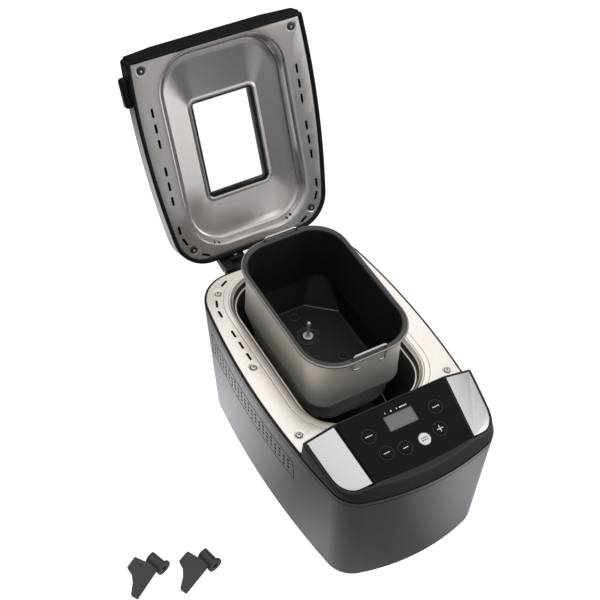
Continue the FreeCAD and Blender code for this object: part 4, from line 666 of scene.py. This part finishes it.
def make_liner():
    edge = [(5, 161.8), (5, 161.3), (5.2, 161.05), (5.6, LINER_Z)]
    wall = rounded_section([(-7, LINER_Z), (0.4, LINER_Z), (5.2, 173), (12, 174.6), (14, 175)], 3.6)
    lip = [(-5, WINDOW_Z), (-4, 178.9), (-3.2, 178.4), (-2.3, 178.2), (-1.2, 178.3)]
    lip += [(-0.3, 178.8), (0, 179.6), (0, 180.4), (-5, 180)]
    back = [(12, 175.5), (4.4, 173.8), (-0.6, 161.8)]
    loops = LID_PLAN.rows(edge) + DISH.rows(wall) + WINDOW.rows(lip) + DISH.rows(back)
    liner = piece("lid_liner", skin(loops, ring=True), [LID_STEEL], "lid")
    cutters = slot_cutters([7.6, -63.4], LINER_Z - 2, LINER_Z + 2)
    cutters += dimples(LID_SCREWS, LINER_SEAT, LINER_Z - 0.05)
    cutters += turned_at(LID_HOLES, LID_HOLE_PROFILE, 12)
    pierce(liner, cutters)
    liner.data.transform(LID)
    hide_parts("lid_panel")
    screws = screw_heads("lid_screw_heads", LID_SCREWS, LINER_SEAT, -1, "lid")
    screws.data.transform(LID)
    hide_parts("lid_screws")


# Lid seal and the tab on the lid's left side


def make_lid_seal():
    section = [(0.3, 162), (0.3, 159.3), (0.7, 158.8), (1.6, 158.5)]
    section += [(3.4, 158.6), (4.5, 159.2), (4.8, 162)]
    shape = skin(LID_PLAN.rows(section), ring=True)
    seal = piece("lid_edge_seal", shape, [BLACK], "lid", place=LID)
    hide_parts("lid_gasket")


TAB = block(-115.25, -128.9, 5.25, 17.5)
TAB_Z = (165, 177)


def make_lid_tab():
    shape = bar(TAB, *TAB_Z, edge=3.5, segments=5)
    tab = piece("lid_grip_tab", shape, [BLACK], "lid", place=LID)
    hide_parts("lid_handle")


# Bread pan

PAN_Y = -25
PAN_RIM_Z = 219
MOUTH = rectangle(60, PAN_Y - 94.5, PAN_Y + 94.5, 36)
RIM = rectangle(67, PAN_Y - 102.7, PAN_Y + 102.7, 42.4)
CREASE = rectangle(57, PAN_Y - 90, PAN_Y + 90, 20)
CREASE_Z = PAN_RIM_Z - 78
PAN_FLOOR_Z = 116
FLOOR_HALF = 52.7
FLOOR_FRONT = PAN_Y - 80
FLOOR_BACK = PAN_Y + 70
FLOOR_CUT = (33, 28)

# The wall below the crease, down and under: half width, front, back, corner radius and height
SKIRT = [
    (58.3, -115.2, 64, 21, 136),
    (58, -114, 60.5, 27, 130),
    (57.4, -111.8, 56, 34, 123.4),
    (57, -111.5, 55.6, 34, 114),
    (56.8, -111.4, 55.2, 34, 106),
    (56.3, -110.9, 54.7, 33.5, 104.6),
    (55.4, -110, 54, 32.6, 104.8),
    (54.8, -109.4, 53.4, 32, 113),
    (50, -104, 48, 28, 114.4),
]
GRIP_X = 21
GRIP_Y = 99.3
GRIP_BORE = [(1.85, 205), (1.85, 225)]
SPINDLE_BORE = [(4.9, 110), (4.9, 118)]
COATED, RIM_FACE, WALL, BEAD, SHADED_SLOPE = range(5)
PAN_FINISHES = [NONSTICK, RIM_COAT, PAN_OUT, RIM_BEAD, SHADED_SLOPE_COAT]
# Rows of the sloping lower band, which take the darker coat as painted shade
SHADED_SLOPE_ROWS = (4, 5, 6, 7, 8)
BEAD_ROWS = (9, 10, 11)


def pan_floor(grow, z):
    return octagon_loop(FLOOR_HALF + grow, FLOOR_FRONT - grow, FLOOR_BACK + grow, *FLOOR_CUT, z)


def pan_inside():
    """Rows from the floor over the sloping lower wall to the mouth."""
    dished = [(-3.4, 0), (-2, 0.1), (-1, 0.45), (-0.3, 1)]
    floor = pan_floor(0.2, PAN_FLOOR_Z + 1.8)
    crease = CREASE.loop(0, CREASE_Z)
    mouth = MOUTH.loop(0, PAN_RIM_Z - 8)
    rows = [pan_floor(grow, PAN_FLOOR_Z + lift) for grow, lift in dished]
    rows += between(floor, crease, (0, 0.3, 0.6, 0.9, 0.97))
    return rows + between(crease, mouth, (0.01, 0.05, 0.5, 1))


def pan_rim():
    """Rows over the rolled rim, from the mouth to the outer edge."""
    crest = [(0.1, 3.4), (0.5, 2), (1.3, 0.9), (2.2, 0.3), (2.7, 0.05)]
    crest += [(3.2, 0.05), (3.7, 0.3), (4.1, 0.8), (4.6, 1)]
    edge = [(1.6, 1.05), (0.8, 1.25), (0.3, 1.7), (0, 2.4), (0, 3.1), (0.3, 3.7), (1, 4)]
    rows = [MOUTH.loop(-grow, PAN_RIM_Z - drop) for grow, drop in crest]
    return rows + [RIM.loop(inset, PAN_RIM_Z - drop) for inset, drop in edge]


def pan_outside():
    """Rows down the outer wall, over the crease and under the skirt."""
    under_rim = [(2.6, 4.3), (1.8, 5)]
    crease = [(2.1, -0.8), (2.1, 0.2), (1.4, 1.6)]
    top = MOUTH.loop(-1.6, PAN_RIM_Z - 6.5)
    fold = CREASE.loop(-1.6, CREASE_Z + 2)
    rows = [MOUTH.loop(-grow, PAN_RIM_Z - drop) for grow, drop in under_rim]
    rows += between(top, fold, (0, 0.5, 0.95, 0.99))
    rows += [CREASE.loop(-grow, CREASE_Z - drop) for grow, drop in crease]
    return rows + [rectangle(*plan).loop(0, z) for *plan, z in SKIRT]


def make_pan():
    inside, rim, outside = pan_inside(), pan_rim(), pan_outside()
    slots = [COATED] * (len(inside) + 1) + [RIM_FACE] * (len(rim) - 2) + [WALL] * len(outside)
    for row in BEAD_ROWS:
        slots[len(inside) + row] = BEAD
    # Painted shade: the sloping band gets the darker coat
    for row in SHADED_SLOPE_ROWS:
        slots[row] = SHADED_SLOPE
    shape = skin(inside + rim + outside, caps=(True, True), slots=slots)
    pan = piece("loaf_pan", shape, PAN_FINISHES, "pan", smooth=40)
    grips = [(x, PAN_Y + y) for x in (GRIP_X, -GRIP_X) for y in (GRIP_Y, -GRIP_Y)]
    bores = turned_at(grips, GRIP_BORE, 20) + [turned(SPINDLE_BORE, 24)]
    pierce(pan, bores, sharp=40)
    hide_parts("bread_pan")


# Floor of the pan: pressed rings, painted highlight lines along its edges, bearing washer and spindle

RIVET_CIRCLE = 42.1
RIVET_Y = -9.1
RIVET_ANGLES = (90, 90 + 148.5, 90 - 148.5)
SPINDLE_RINGS = (10.5, 13)
SPINDLE_RING_WIDTH = 0.7
RIVET_RING = 5.2
RIVET_RING_WIDTH = 0.6
RING_HEIGHT = 0.5
EDGE_RIGHT = FLOOR_HALF - 0.5
EDGE_BACK = FLOOR_BACK - 0.5
FAINT_RADIUS = 0.45
CORNER_HIGHLIGHT_RADIUS = 0.6
WASHER_SECTION = [(2.9, 0.2), (3.3, 1), (4.2, 1.3), (5.6, 1.3), (6.3, 0.9), (6.4, 0)]


def make_pan_rings():
    low = PAN_FLOOR_Z - 0.1
    rings = [ridge(radius, SPINDLE_RING_WIDTH, RING_HEIGHT, low) for radius in SPINDLE_RINGS]
    for angle in RIVET_ANGLES:
        turn = math.radians(angle)
        place = at(RIVET_CIRCLE * math.cos(turn), RIVET_Y + RIVET_CIRCLE * math.sin(turn), 0)
        rings.append(moved(ridge(RIVET_RING, RIVET_RING_WIDTH, RING_HEIGHT, low), place))
    floor = piece("pan_floor_rings", merge(rings), [RIM_COAT], "pan", smooth=60)


def make_pan_edge_highlights():
    """Painted highlights: faint light lines along the floor's back and right edges, and a brighter one across
    the corner between.
    """
    right = (EDGE_RIGHT, EDGE_BACK - FLOOR_CUT[1])
    back = (EDGE_RIGHT - FLOOR_CUT[0], EDGE_BACK)
    lines = [[back, (-back[0], EDGE_BACK)], [right, (EDGE_RIGHT, PAN_Y)]]
    faint = [tube([(x, y, PAN_FLOOR_Z + 0.4) for x, y in line], FAINT_RADIUS) for line in lines]
    faint = piece("pan_floor_edge_highlights", merge(faint), [RIM_COAT], "pan", smooth=60)
    # The line across the corner is a brighter painted highlight
    bright = tube([(x, y, PAN_FLOOR_Z + 0.5) for x, y in (right, back)], CORNER_HIGHLIGHT_RADIUS)
    bright = piece("pan_floor_corner_highlight", bright, [CORNER_HIGHLIGHT], "pan", smooth=60)


def make_washer():
    loops = [circle(radius, PAN_FLOOR_Z + rise, 40) for radius, rise in WASHER_SECTION]
    washer = piece("bearing_washer", skin(loops, ring=True), [WASHER], "pan", smooth=50)


def make_spindle():
    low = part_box("pan_spindle")[0][2] / MM
    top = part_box("pan_spindle")[1][2] / MM
    profile = [(2, low), (2.5, low + 0.6), (2.5, PAN_FLOOR_Z + 2.5), (2.1, PAN_FLOOR_Z + 4)]
    head = [(2.1, 5.4), (2.3, 4.8), (2.5, 4.2), (2.5, 1.8), (2.2, 0.7), (1.2, 0.1), (0.5, 0)]
    profile += [(radius, top - drop) for radius, drop in head]
    spindle = piece("kneading_spindle", turned(profile, 32), [SCREW], "spindle", smooth=50)
    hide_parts("pan_spindle")


# Control panel: housing, gloss fascia, side plates, screen and buttons

HIGH = bowed(TOP_BACK_HALF, 112, 99.5, TOP_BACK, MIDDLE, -223, -235.4, BACK_RADIUS, 29)
KINK_BACK = 70.2
KINK_NARROWING = 0.1031
SIDE_FALL = 0.2485
PANEL_RIM = 1.9
PANEL_RECESS = 1.1
FRONT_DRAW = 4
FRONT_PART = -50
MIDDLE_PART = 20
HOUSING_INSET = 0.7
HOUSING_Z = (154.7, 194.7)
HOUSING_EDGE = {"width": 1.6, "segments": 4, "angle": 32}
LEAST_TOP_AREA = 800
LEAST_TOP_RISE = 0.9
INLAY_GAP = 0.35
INLAY_LOW = 1.05
INLAY_THICK = 0.95
INLAY_EDGE = {"width": 0.25, "segments": 2, "angle": 60}
SLOPE = math.tan(math.radians(PANEL_TILT))


def slice_off(bm, point, normal):
    """Cuts a closed mesh on a plane, drops what lies on the normal's side, and closes the cut."""
    geom = list(bm.verts) + list(bm.edges) + list(bm.faces)
    made = bmesh.ops.bisect_plane(
        bm, geom=geom, plane_co=Vector(point) * MM, plane_no=Vector(normal).normalized(), clear_outer=True
    )
    edges = [item for item in made["geom_cut"] if isinstance(item, bmesh.types.BMEdge)]
    bmesh.ops.contextual_create(bm, geom=edges)


def flatten_front(face):
    """Draws back the bowed front edge of the fascia's recess, most in the middle."""
    into = PANEL.inverted()
    places = [(vert, into @ vert.co) for vert in face.verts]
    front = FRONT_PART * MM
    half = max(place.x for _, place in places if place.y < front)
    for vert, place in places:
        if place.y < front:
            back = FRONT_DRAW * MM * max(1 - (place.x / half) ** 2, 0)
            vert.co += PANEL.to_3x3() @ Vector((0, back, 0))


def make_housing():
    """The sloping housing, with a recess for each inlay; gives the recesses' outlines."""
    loops = [plan.loop(HOUSING_INSET, z) for plan, z in zip((TOP, HIGH), HOUSING_Z)]
    bm = skin(loops, caps=(True, True))
    slice_off(bm, (0, PANEL_BACK, 0), (0, 1, 0))
    slice_off(bm, (0, PANEL_BACK, PANEL_TOP), (0, -SLOPE, 1))
    for side in (1, -1):
        slope = SLOPE + SIDE_FALL * KINK_NARROWING
        slice_off(bm, (side * KINK_BACK, PANEL_BACK, PANEL_TOP), (side * SIDE_FALL, -slope, 1))
    soften(bm, **HOUSING_EDGE)
    bmesh.ops.recalc_face_normals(bm, faces=bm.faces)
    least = LEAST_TOP_AREA * MM**2
    tops = [face for face in bm.faces if face.normal.z > LEAST_TOP_RISE and face.calc_area() > least]
    rims = bmesh.ops.inset_individual(bm, faces=tops, thickness=PANEL_RIM * MM)["faces"]
    for face in rims:
        face.material_index = 1
    outlines = []
    for face in tops:
        normal = face.normal.copy()
        if abs(face.calc_center_median().x) < MIDDLE_PART * MM:
            flatten_front(face)
        face.material_index = 1
        outlines.append(([vert.co.copy() for vert in face.verts], normal))
        bmesh.ops.translate(bm, verts=face.verts, vec=normal * -PANEL_RECESS * MM)
    housing = piece("panel_housing", bm, [BAND, RIM_GLOSS], "machine", smooth=28)
    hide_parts("control_bezel")
    return outlines


def inlay(name, outline, normal, material):
    """A thin plate that lies in a recess of the housing, a hair inside its rim."""
    bm = bmesh.new()
    face = bm.faces.new([bm.verts.new(point) for point in outline])
    face.normal_update()
    if face.normal.dot(normal) < 0:
        face.normal_flip()
    bmesh.ops.inset_individual(bm, faces=[face], thickness=INLAY_GAP * MM)
    rest = [other for other in bm.faces if other is not face]
    bmesh.ops.delete(bm, geom=rest, context="FACES")
    bmesh.ops.translate(bm, verts=list(bm.verts), vec=normal * -INLAY_LOW * MM)
    draw_out(bm, face, normal * INLAY_THICK * MM)
    soften(bm, **INLAY_EDGE)
    return piece(name, bm, [material], "machine")


BUTTONS = {
    "menu_button": (-42.2, -27.7),
    "colour_button": (42.2, -27.7),
    "minus_button": (-33.5, -51.6),
    "plus_button": (33.5, -51.6),
    "loaf_button": (-12, -54.8),
    "start_button": (12, -54.8),
}
SCREEN_HALF = (17.7, 8.75)
SCREEN_Y = -24.4
SCREEN_GAP = 0.1
SCREEN_BORDER = [(0.0, 0.0), (0.15, 0.12), (0.9, 0.12), (1.05, 0.0)]
CUT_Z = (-4, 4)
BUTTON_BORE = [(7.3, z) for z in CUT_Z]
BUTTON_TOP = 0.4
GLASS_TOP = -0.14
PRINT_THICK = 0.06
BUTTON_RING = (7.6, 7.95)
START_RING = (6.35, 6.7)
BUTTON_DASHES = {
    "menu_button": (1.9, 1.5, 1.9, 1.5),
    "loaf_button": (1.5, 1.9, 1.5),
    "colour_button": (1.6, 1.8, 1.6, 1.8),
}
MINUS_HALF = (3.7, 0.4)
PLUS_HALF = (3.8, 0.45)
PLUS_ARM = (2.1, 1.65)
START_DASHES = [(1.3, (2.2, 2.5, 2.2)), (-1.3, (2.4, 2.2, 2))]
START_DASH_HALF = 0.65
ICONS = [(-13, 0.5), (-5.4, 0.8), (1.6, 0.5)]
ICON_HALF = 0.8
ICON_DASHES = (4.4, 4.4)
ICON_DASHES_X = 9.5
ICON_DASH_HALF = 0.6
ICON_LIFT = 3.6


def make_panel():
    for outline, normal in make_housing():
        middle = sum(point.x for point in outline) / len(outline)
        if abs(middle) < MIDDLE_PART * MM:
            glass = inlay("panel_glass", outline, normal, GLOSS)
            holes = turned_at(BUTTONS.values(), BUTTON_BORE)
            halves = [half + SCREEN_GAP for half in SCREEN_HALF]
            holes.append(bar(block(0, SCREEN_Y, *halves), *CUT_Z))
            pierce(glass, [moved(hole, PANEL) for hole in holes])
            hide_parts("panel_fascia")
        else:
            side = "right" if middle > 0 else "left"
            plate = inlay("panel_plate_" + side, outline, normal, SILVER)
            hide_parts("side_plates")


def print_marks(name, shapes, height, material, body):
    """Thin printed shapes on the panel."""
    bars = [bar(shape, height, height + PRINT_THICK) for shape in shapes]
    obj = piece(name, merge(bars), [material], body, place=PANEL)


def dashes(x, y, widths, half_height=0.55, gap=0.55):
    """A row of short bars, centred on a point."""
    total = sum(widths) + gap * (len(widths) - 1)
    start = x - total / 2
    shapes = []
    for width in widths:
        shapes.append(block(start + width / 2, y, width / 2, half_height))
        start += width + gap
    return shapes


def print_ring(name, x, y, radii, height, material, body):
    """A thin printed ring on the panel."""
    inner, outer = radii
    top = height + PRINT_THICK
    section = [(inner, height), (outer, height), (outer, top), (inner, top)]
    loops = [circle(radius, z, x=x, y=y) for radius, z in section]
    obj = piece(name, skin(loops, ring=True), [material], body, place=PANEL)


def make_marks():
    for name, (x, y) in BUTTONS.items():
        if name == "start_button":
            print_ring(name + "_ring", x, y, START_RING, BUTTON_TOP, STEEL, name + "_cap")
        else:
            print_ring(name + "_ring", x, y, BUTTON_RING, GLASS_TOP, RIM_COAT, "machine")
    for name, widths in BUTTON_DASHES.items():
        print_marks(name + "_mark", dashes(*BUTTONS[name], widths), BUTTON_TOP, PRINT, name + "_cap")
    minus = [block(*BUTTONS["minus_button"], *MINUS_HALF)]
    print_marks("minus_mark", minus, BUTTON_TOP, PRINT, "minus_button_cap")
    x, y = BUTTONS["plus_button"]
    away, half = PLUS_ARM
    plus = [block(x, y, *PLUS_HALF)]
    plus += [block(x, y + side * away, PLUS_HALF[1], half) for side in (1, -1)]
    print_marks("plus_mark", plus, BUTTON_TOP, PRINT, "plus_button_cap")
    x, y = BUTTONS["start_button"]
    rows = []
    for up, widths in START_DASHES:
        rows += dashes(x, y + up, widths, START_DASH_HALF)
    print_marks("start_mark", rows, BUTTON_TOP, GREY, "start_button_cap")
    above = SCREEN_Y + SCREEN_HALF[1] + ICON_LIFT
    icons = [block(x, above, half, ICON_HALF) for x, half in ICONS]
    icons += dashes(ICON_DASHES_X, above, ICON_DASHES, ICON_DASH_HALF)
    print_marks("screen_icons", icons, GLASS_TOP, PRINT, "machine")


def make_screen_border():
    loops = []
    for inset, height in SCREEN_BORDER:
        corners = block(0, SCREEN_Y, *[half - inset for half in SCREEN_HALF])
        loops.append([Vector((x, y, height)) * MM for x, y in corners])
    border = piece("screen_border", skin(loops, ring=True), [GREY], "machine", place=PANEL)


# Casing: a fine raised line round each vent strip, and a black band under the top edge that paints the shade
# of a groove

BOTTOM = bowed(97.7, 107.7, 92.5, 70, MIDDLE, *BODY_ENDS)
CASING_LOW = 6
CASING_HIGH = 154.2
VENT_LINE = [(46.55, 129.55), (-156.05, 129.55), (-159.05, 99.45), (43.55, 99.45)]
VENT_RISES = (-0.4, 0.22, 0.22, -0.4)
# A thin black band standing for a groove under the top edge: painted shade
GROOVE_SHADE = [(-0.4, 148.2), (0.12, 148.3), (0.12, 149.4), (-0.4, 149.5)]


def casing_row(grow, z):
    """The casing's outline at a height, grown outward a little."""
    share = (z - CASING_LOW) / (CASING_HIGH - CASING_LOW)
    return between(BOTTOM.loop(-grow, z), TOP.loop(-grow, z), [share])[0]


def casing_side(y, z, grow):
    """A place on the casing's right side, from how far back and how high it is."""
    row = sorted((point for point in casing_row(grow, z) if point.x > 0), key=lambda point: point.y)
    for first, second in zip(row, row[1:]):
        if first.y <= y * MM <= second.y:
            return first.lerp(second, (y * MM - first.y) / (second.y - first.y))


def vent_loop(grow, steps=16):
    """Points along the line round the right vent strip, on the casing."""
    points = []
    for (y, z), (next_y, next_z) in zip(VENT_LINE, VENT_LINE[1:] + VENT_LINE[:1]):
        shares = [step / steps for step in range(steps)]
        points += [casing_side(y + (next_y - y) * share, z + (next_z - z) * share, grow) for share in shares]
    return points


def make_casing_lines():
    loops = [vent_loop(grow) for grow in VENT_RISES]
    mirrors = [Matrix.Scale(side, 4, (1, 0, 0)) for side in (1, -1)]
    borders = [moved(skin(loops, ring=True), mirror) for mirror in mirrors]
    borders = piece("vent_borders", merge(borders), [BLACK], "machine")
    loops = [casing_row(grow, z) for grow, z in GROOVE_SHADE]
    groove = piece("casing_groove_shade", skin(loops, ring=True), [BLACK], "machine")


# Hinges: a black leaf on the lid beside each block, with a screw in it

LEAVES = [block(side * 30.5, 130.25, 10.5, 8.75) for side in (1, -1)]
LEAF_Z = (141.5, 152.5)
LEAF_SCREWS = both([(31, 130)])


def make_hinge_leaves():
    leaves = [bar(outline, *LEAF_Z, edge=1.2) for outline in LEAVES]
    leaves = piece("hinge_leaves", merge(leaves), [BLACK], "lid")
    screws = screw_heads("hinge_screws", LEAF_SCREWS, LEAF_Z[1], 1, "lid")
    screw_shades("hinge_screws_shade", LEAF_SCREWS, LEAF_Z[1], "lid")


make_casing_lines()
make_hinge_leaves()
make_deck()
make_chamber_bead()
make_liner()
make_lid_seal()
make_lid_tab()
make_pan()
make_pan_rings()
make_pan_edge_highlights()
make_washer()
make_spindle()
make_panel()
make_marks()
make_screen_border()


# Stage: floor, room, lights and camera

# Pools of light on the table, which show only in reflections: middle, start and end of the fade, glow
POOLS = {
    "table": ((0, -0.05, 0), (0.5, 0.9), 0.5),
    "left": ((-0.09, 0.03, 0), (0.02, 0.17), 1.5),
    "corner": ((-0.1, -0.2, 0), (0.02, 0.1), 0.6),
    "lid": ((-0.26, 0.41, 0), (0.14, 0.27), 1.5),
    "front": ((0.45, -1.2, 0), (0.3, 0.8), 0.5),
    "right": ((0.14, -0.33, 0), (0.03, 0.14), 1.1),
}
TABLE_SIZE = 6
WHITE = 1.3
LILAC = (0.98, 0.95, 1, 1)


def pool_of_light(nodes, links, where, middle, reach, glow):
    """A brightness that falls from glow to nothing between two distances from a place."""
    away = nodes.new("ShaderNodeVectorMath")
    away.operation = "DISTANCE"
    away.inputs[1].default_value = middle
    fade = nodes.new("ShaderNodeMapRange")
    preset(fade, {"From Min": reach[0], "From Max": reach[1], "To Min": glow, "To Max": 0.0})
    links.new(where.outputs["Object"], away.inputs[0])
    links.new(away.outputs["Value"], fade.inputs["Value"])
    return fade.outputs["Result"]


def joined(nodes, links, operation, first, second):
    """Two values, or a value and a plain number, joined by an operation."""
    node = nodes.new("ShaderNodeMath")
    node.operation = operation
    links.new(first, node.inputs[0])
    if isinstance(second, float):
        node.inputs[1].default_value = second
    else:
        links.new(second, node.inputs[1])
    return node.outputs["Value"]


def floor_white():
    """White to the camera, and in reflections brightest close to the object."""
    material, nodes, links, shader = new_material("floor_white")
    preset(shader, {"Base Color": (0.55, 0.55, 0.55, 1), "Roughness": 0.9})
    where = nodes.new("ShaderNodeTexCoord")
    glow, *others = [pool_of_light(nodes, links, where, *pool) for pool in POOLS.values()]
    for other in others:
        glow = joined(nodes, links, "ADD", glow, other)
    path = nodes.new("ShaderNodeLightPath")
    seen = joined(nodes, links, "MAXIMUM", path.outputs["Is Camera Ray"], path.outputs["Is Transmission Ray"])
    plain = joined(nodes, links, "MULTIPLY", seen, WHITE)
    mirrored = joined(nodes, links, "MULTIPLY", path.outputs["Is Glossy Ray"], glow)
    white = preset(nodes.new("ShaderNodeEmission"), {"Color": LILAC})
    links.new(joined(nodes, links, "MAXIMUM", plain, mirrored), white.inputs["Strength"])
    mix = nodes.new("ShaderNodeMixShader")
    links.new(joined(nodes, links, "MAXIMUM", seen, path.outputs["Is Glossy Ray"]), mix.inputs["Fac"])
    links.new(shader.outputs["BSDF"], mix.inputs[1])
    links.new(white.outputs["Emission"], mix.inputs[2])
    links.new(mix.outputs["Shader"], nodes["Material Output"].inputs["Surface"])
    return material


def make_floor():
    bm = bmesh.new()
    bmesh.ops.create_grid(bm, x_segments=1, y_segments=1, size=TABLE_SIZE)
    mesh = to_mesh("floor", bm)
    mesh.materials.append(floor_white())
    floor = add_object("floor", mesh)
    floor.location.z = cad_box[0][2]


ROOM_BASE = 0.08
ROOM_RISE = 1.15


def make_world():
    """White to the camera; to everything else a soft room, brightest overhead."""
    world = bpy.data.worlds.new("studio")
    bpy.context.scene.world = world
    world.use_nodes = True
    nodes = world.node_tree.nodes
    links = world.node_tree.links
    where = nodes.new("ShaderNodeTexCoord")
    split = nodes.new("ShaderNodeSeparateXYZ")
    links.new(where.outputs["Generated"], split.inputs["Vector"])
    rise = joined(nodes, links, "MULTIPLY", split.outputs["Z"], ROOM_RISE)
    rise.node.use_clamp = True
    soft = preset(nodes["Background"], {"Color": (1, 1, 1, 1)})
    links.new(joined(nodes, links, "ADD", rise, ROOM_BASE), soft.inputs["Strength"])
    white = preset(nodes.new("ShaderNodeBackground"), {"Color": (1, 1, 1, 1), "Strength": WHITE})
    path = nodes.new("ShaderNodeLightPath")
    seen = joined(nodes, links, "MAXIMUM", path.outputs["Is Camera Ray"], path.outputs["Is Transmission Ray"])
    mix = nodes.new("ShaderNodeMixShader")
    links.new(seen, mix.inputs["Fac"])
    links.new(soft.outputs["Background"], mix.inputs[1])
    links.new(white.outputs["Background"], mix.inputs[2])
    links.new(mix.outputs["Shader"], nodes["World Output"].inputs["Surface"])


# Lights: place, aim, width, height and power
LIGHT_AIM = (0, 0, 0.2)
PANEL_AIM = (0.03, -0.1, 0.17)
LIGHTS = {
    "front": ((1.7, -1.3, 0.6), LIGHT_AIM, 1.3, 1.3, 7),
    "low": ((0.65, -2.4, 0.3), LIGHT_AIM, 0.5, 1.3, 1.1),
    "glint": ((0.6, 0.92, 1.5), LIGHT_AIM, 0.7, 0.7, 0.82),
    "side": ((1.3, -0.55, 0.75), PANEL_AIM, 0.5, 0.5, 2),
    "fill": ((0.75, -1.3, 1.0), PANEL_AIM, 0.5, 0.5, 1),
}


def softbox(name, place, aim, width, height, power):
    """A rectangular lamp turned toward a point."""
    light = bpy.data.lights.new(name, "AREA")
    light.shape = "RECTANGLE"
    light.size = width
    light.size_y = height
    light.energy = power
    obj = add_object(name, light)
    obj.location = place
    obj.rotation_euler = (Vector(aim) - Vector(place)).to_track_quat("-Z", "Y").to_euler()


CAMERA = {"azimuth": -32.3, "elevation": 48.27, "distance": 1.408, "roll": 3.75, "lens": 71.76}
AIM = Vector((-0.19, 22.6, 157.91)) * MM


def make_camera():
    turn = math.radians(CAMERA["azimuth"])
    rise = math.radians(CAMERA["elevation"])
    toward = Vector((math.sin(turn) * math.cos(rise), -math.cos(turn) * math.cos(rise), math.sin(rise)))
    camera = bpy.data.cameras.new("camera")
    camera.sensor_width = 36
    camera.lens = CAMERA["lens"]
    obj = add_object("camera", camera)
    level = toward.to_track_quat("Z", "Y").to_matrix().to_4x4()
    roll = Matrix.Rotation(math.radians(CAMERA["roll"]), 4, "Z")
    obj.matrix_world = Matrix.Translation(AIM + toward * CAMERA["distance"]) @ level @ roll
    bpy.context.scene.camera = obj


make_floor()
make_world()
make_camera()
for name, light in LIGHTS.items():
    softbox(name, *light)
bpy.context.scene.view_settings.view_transform = "Standard"
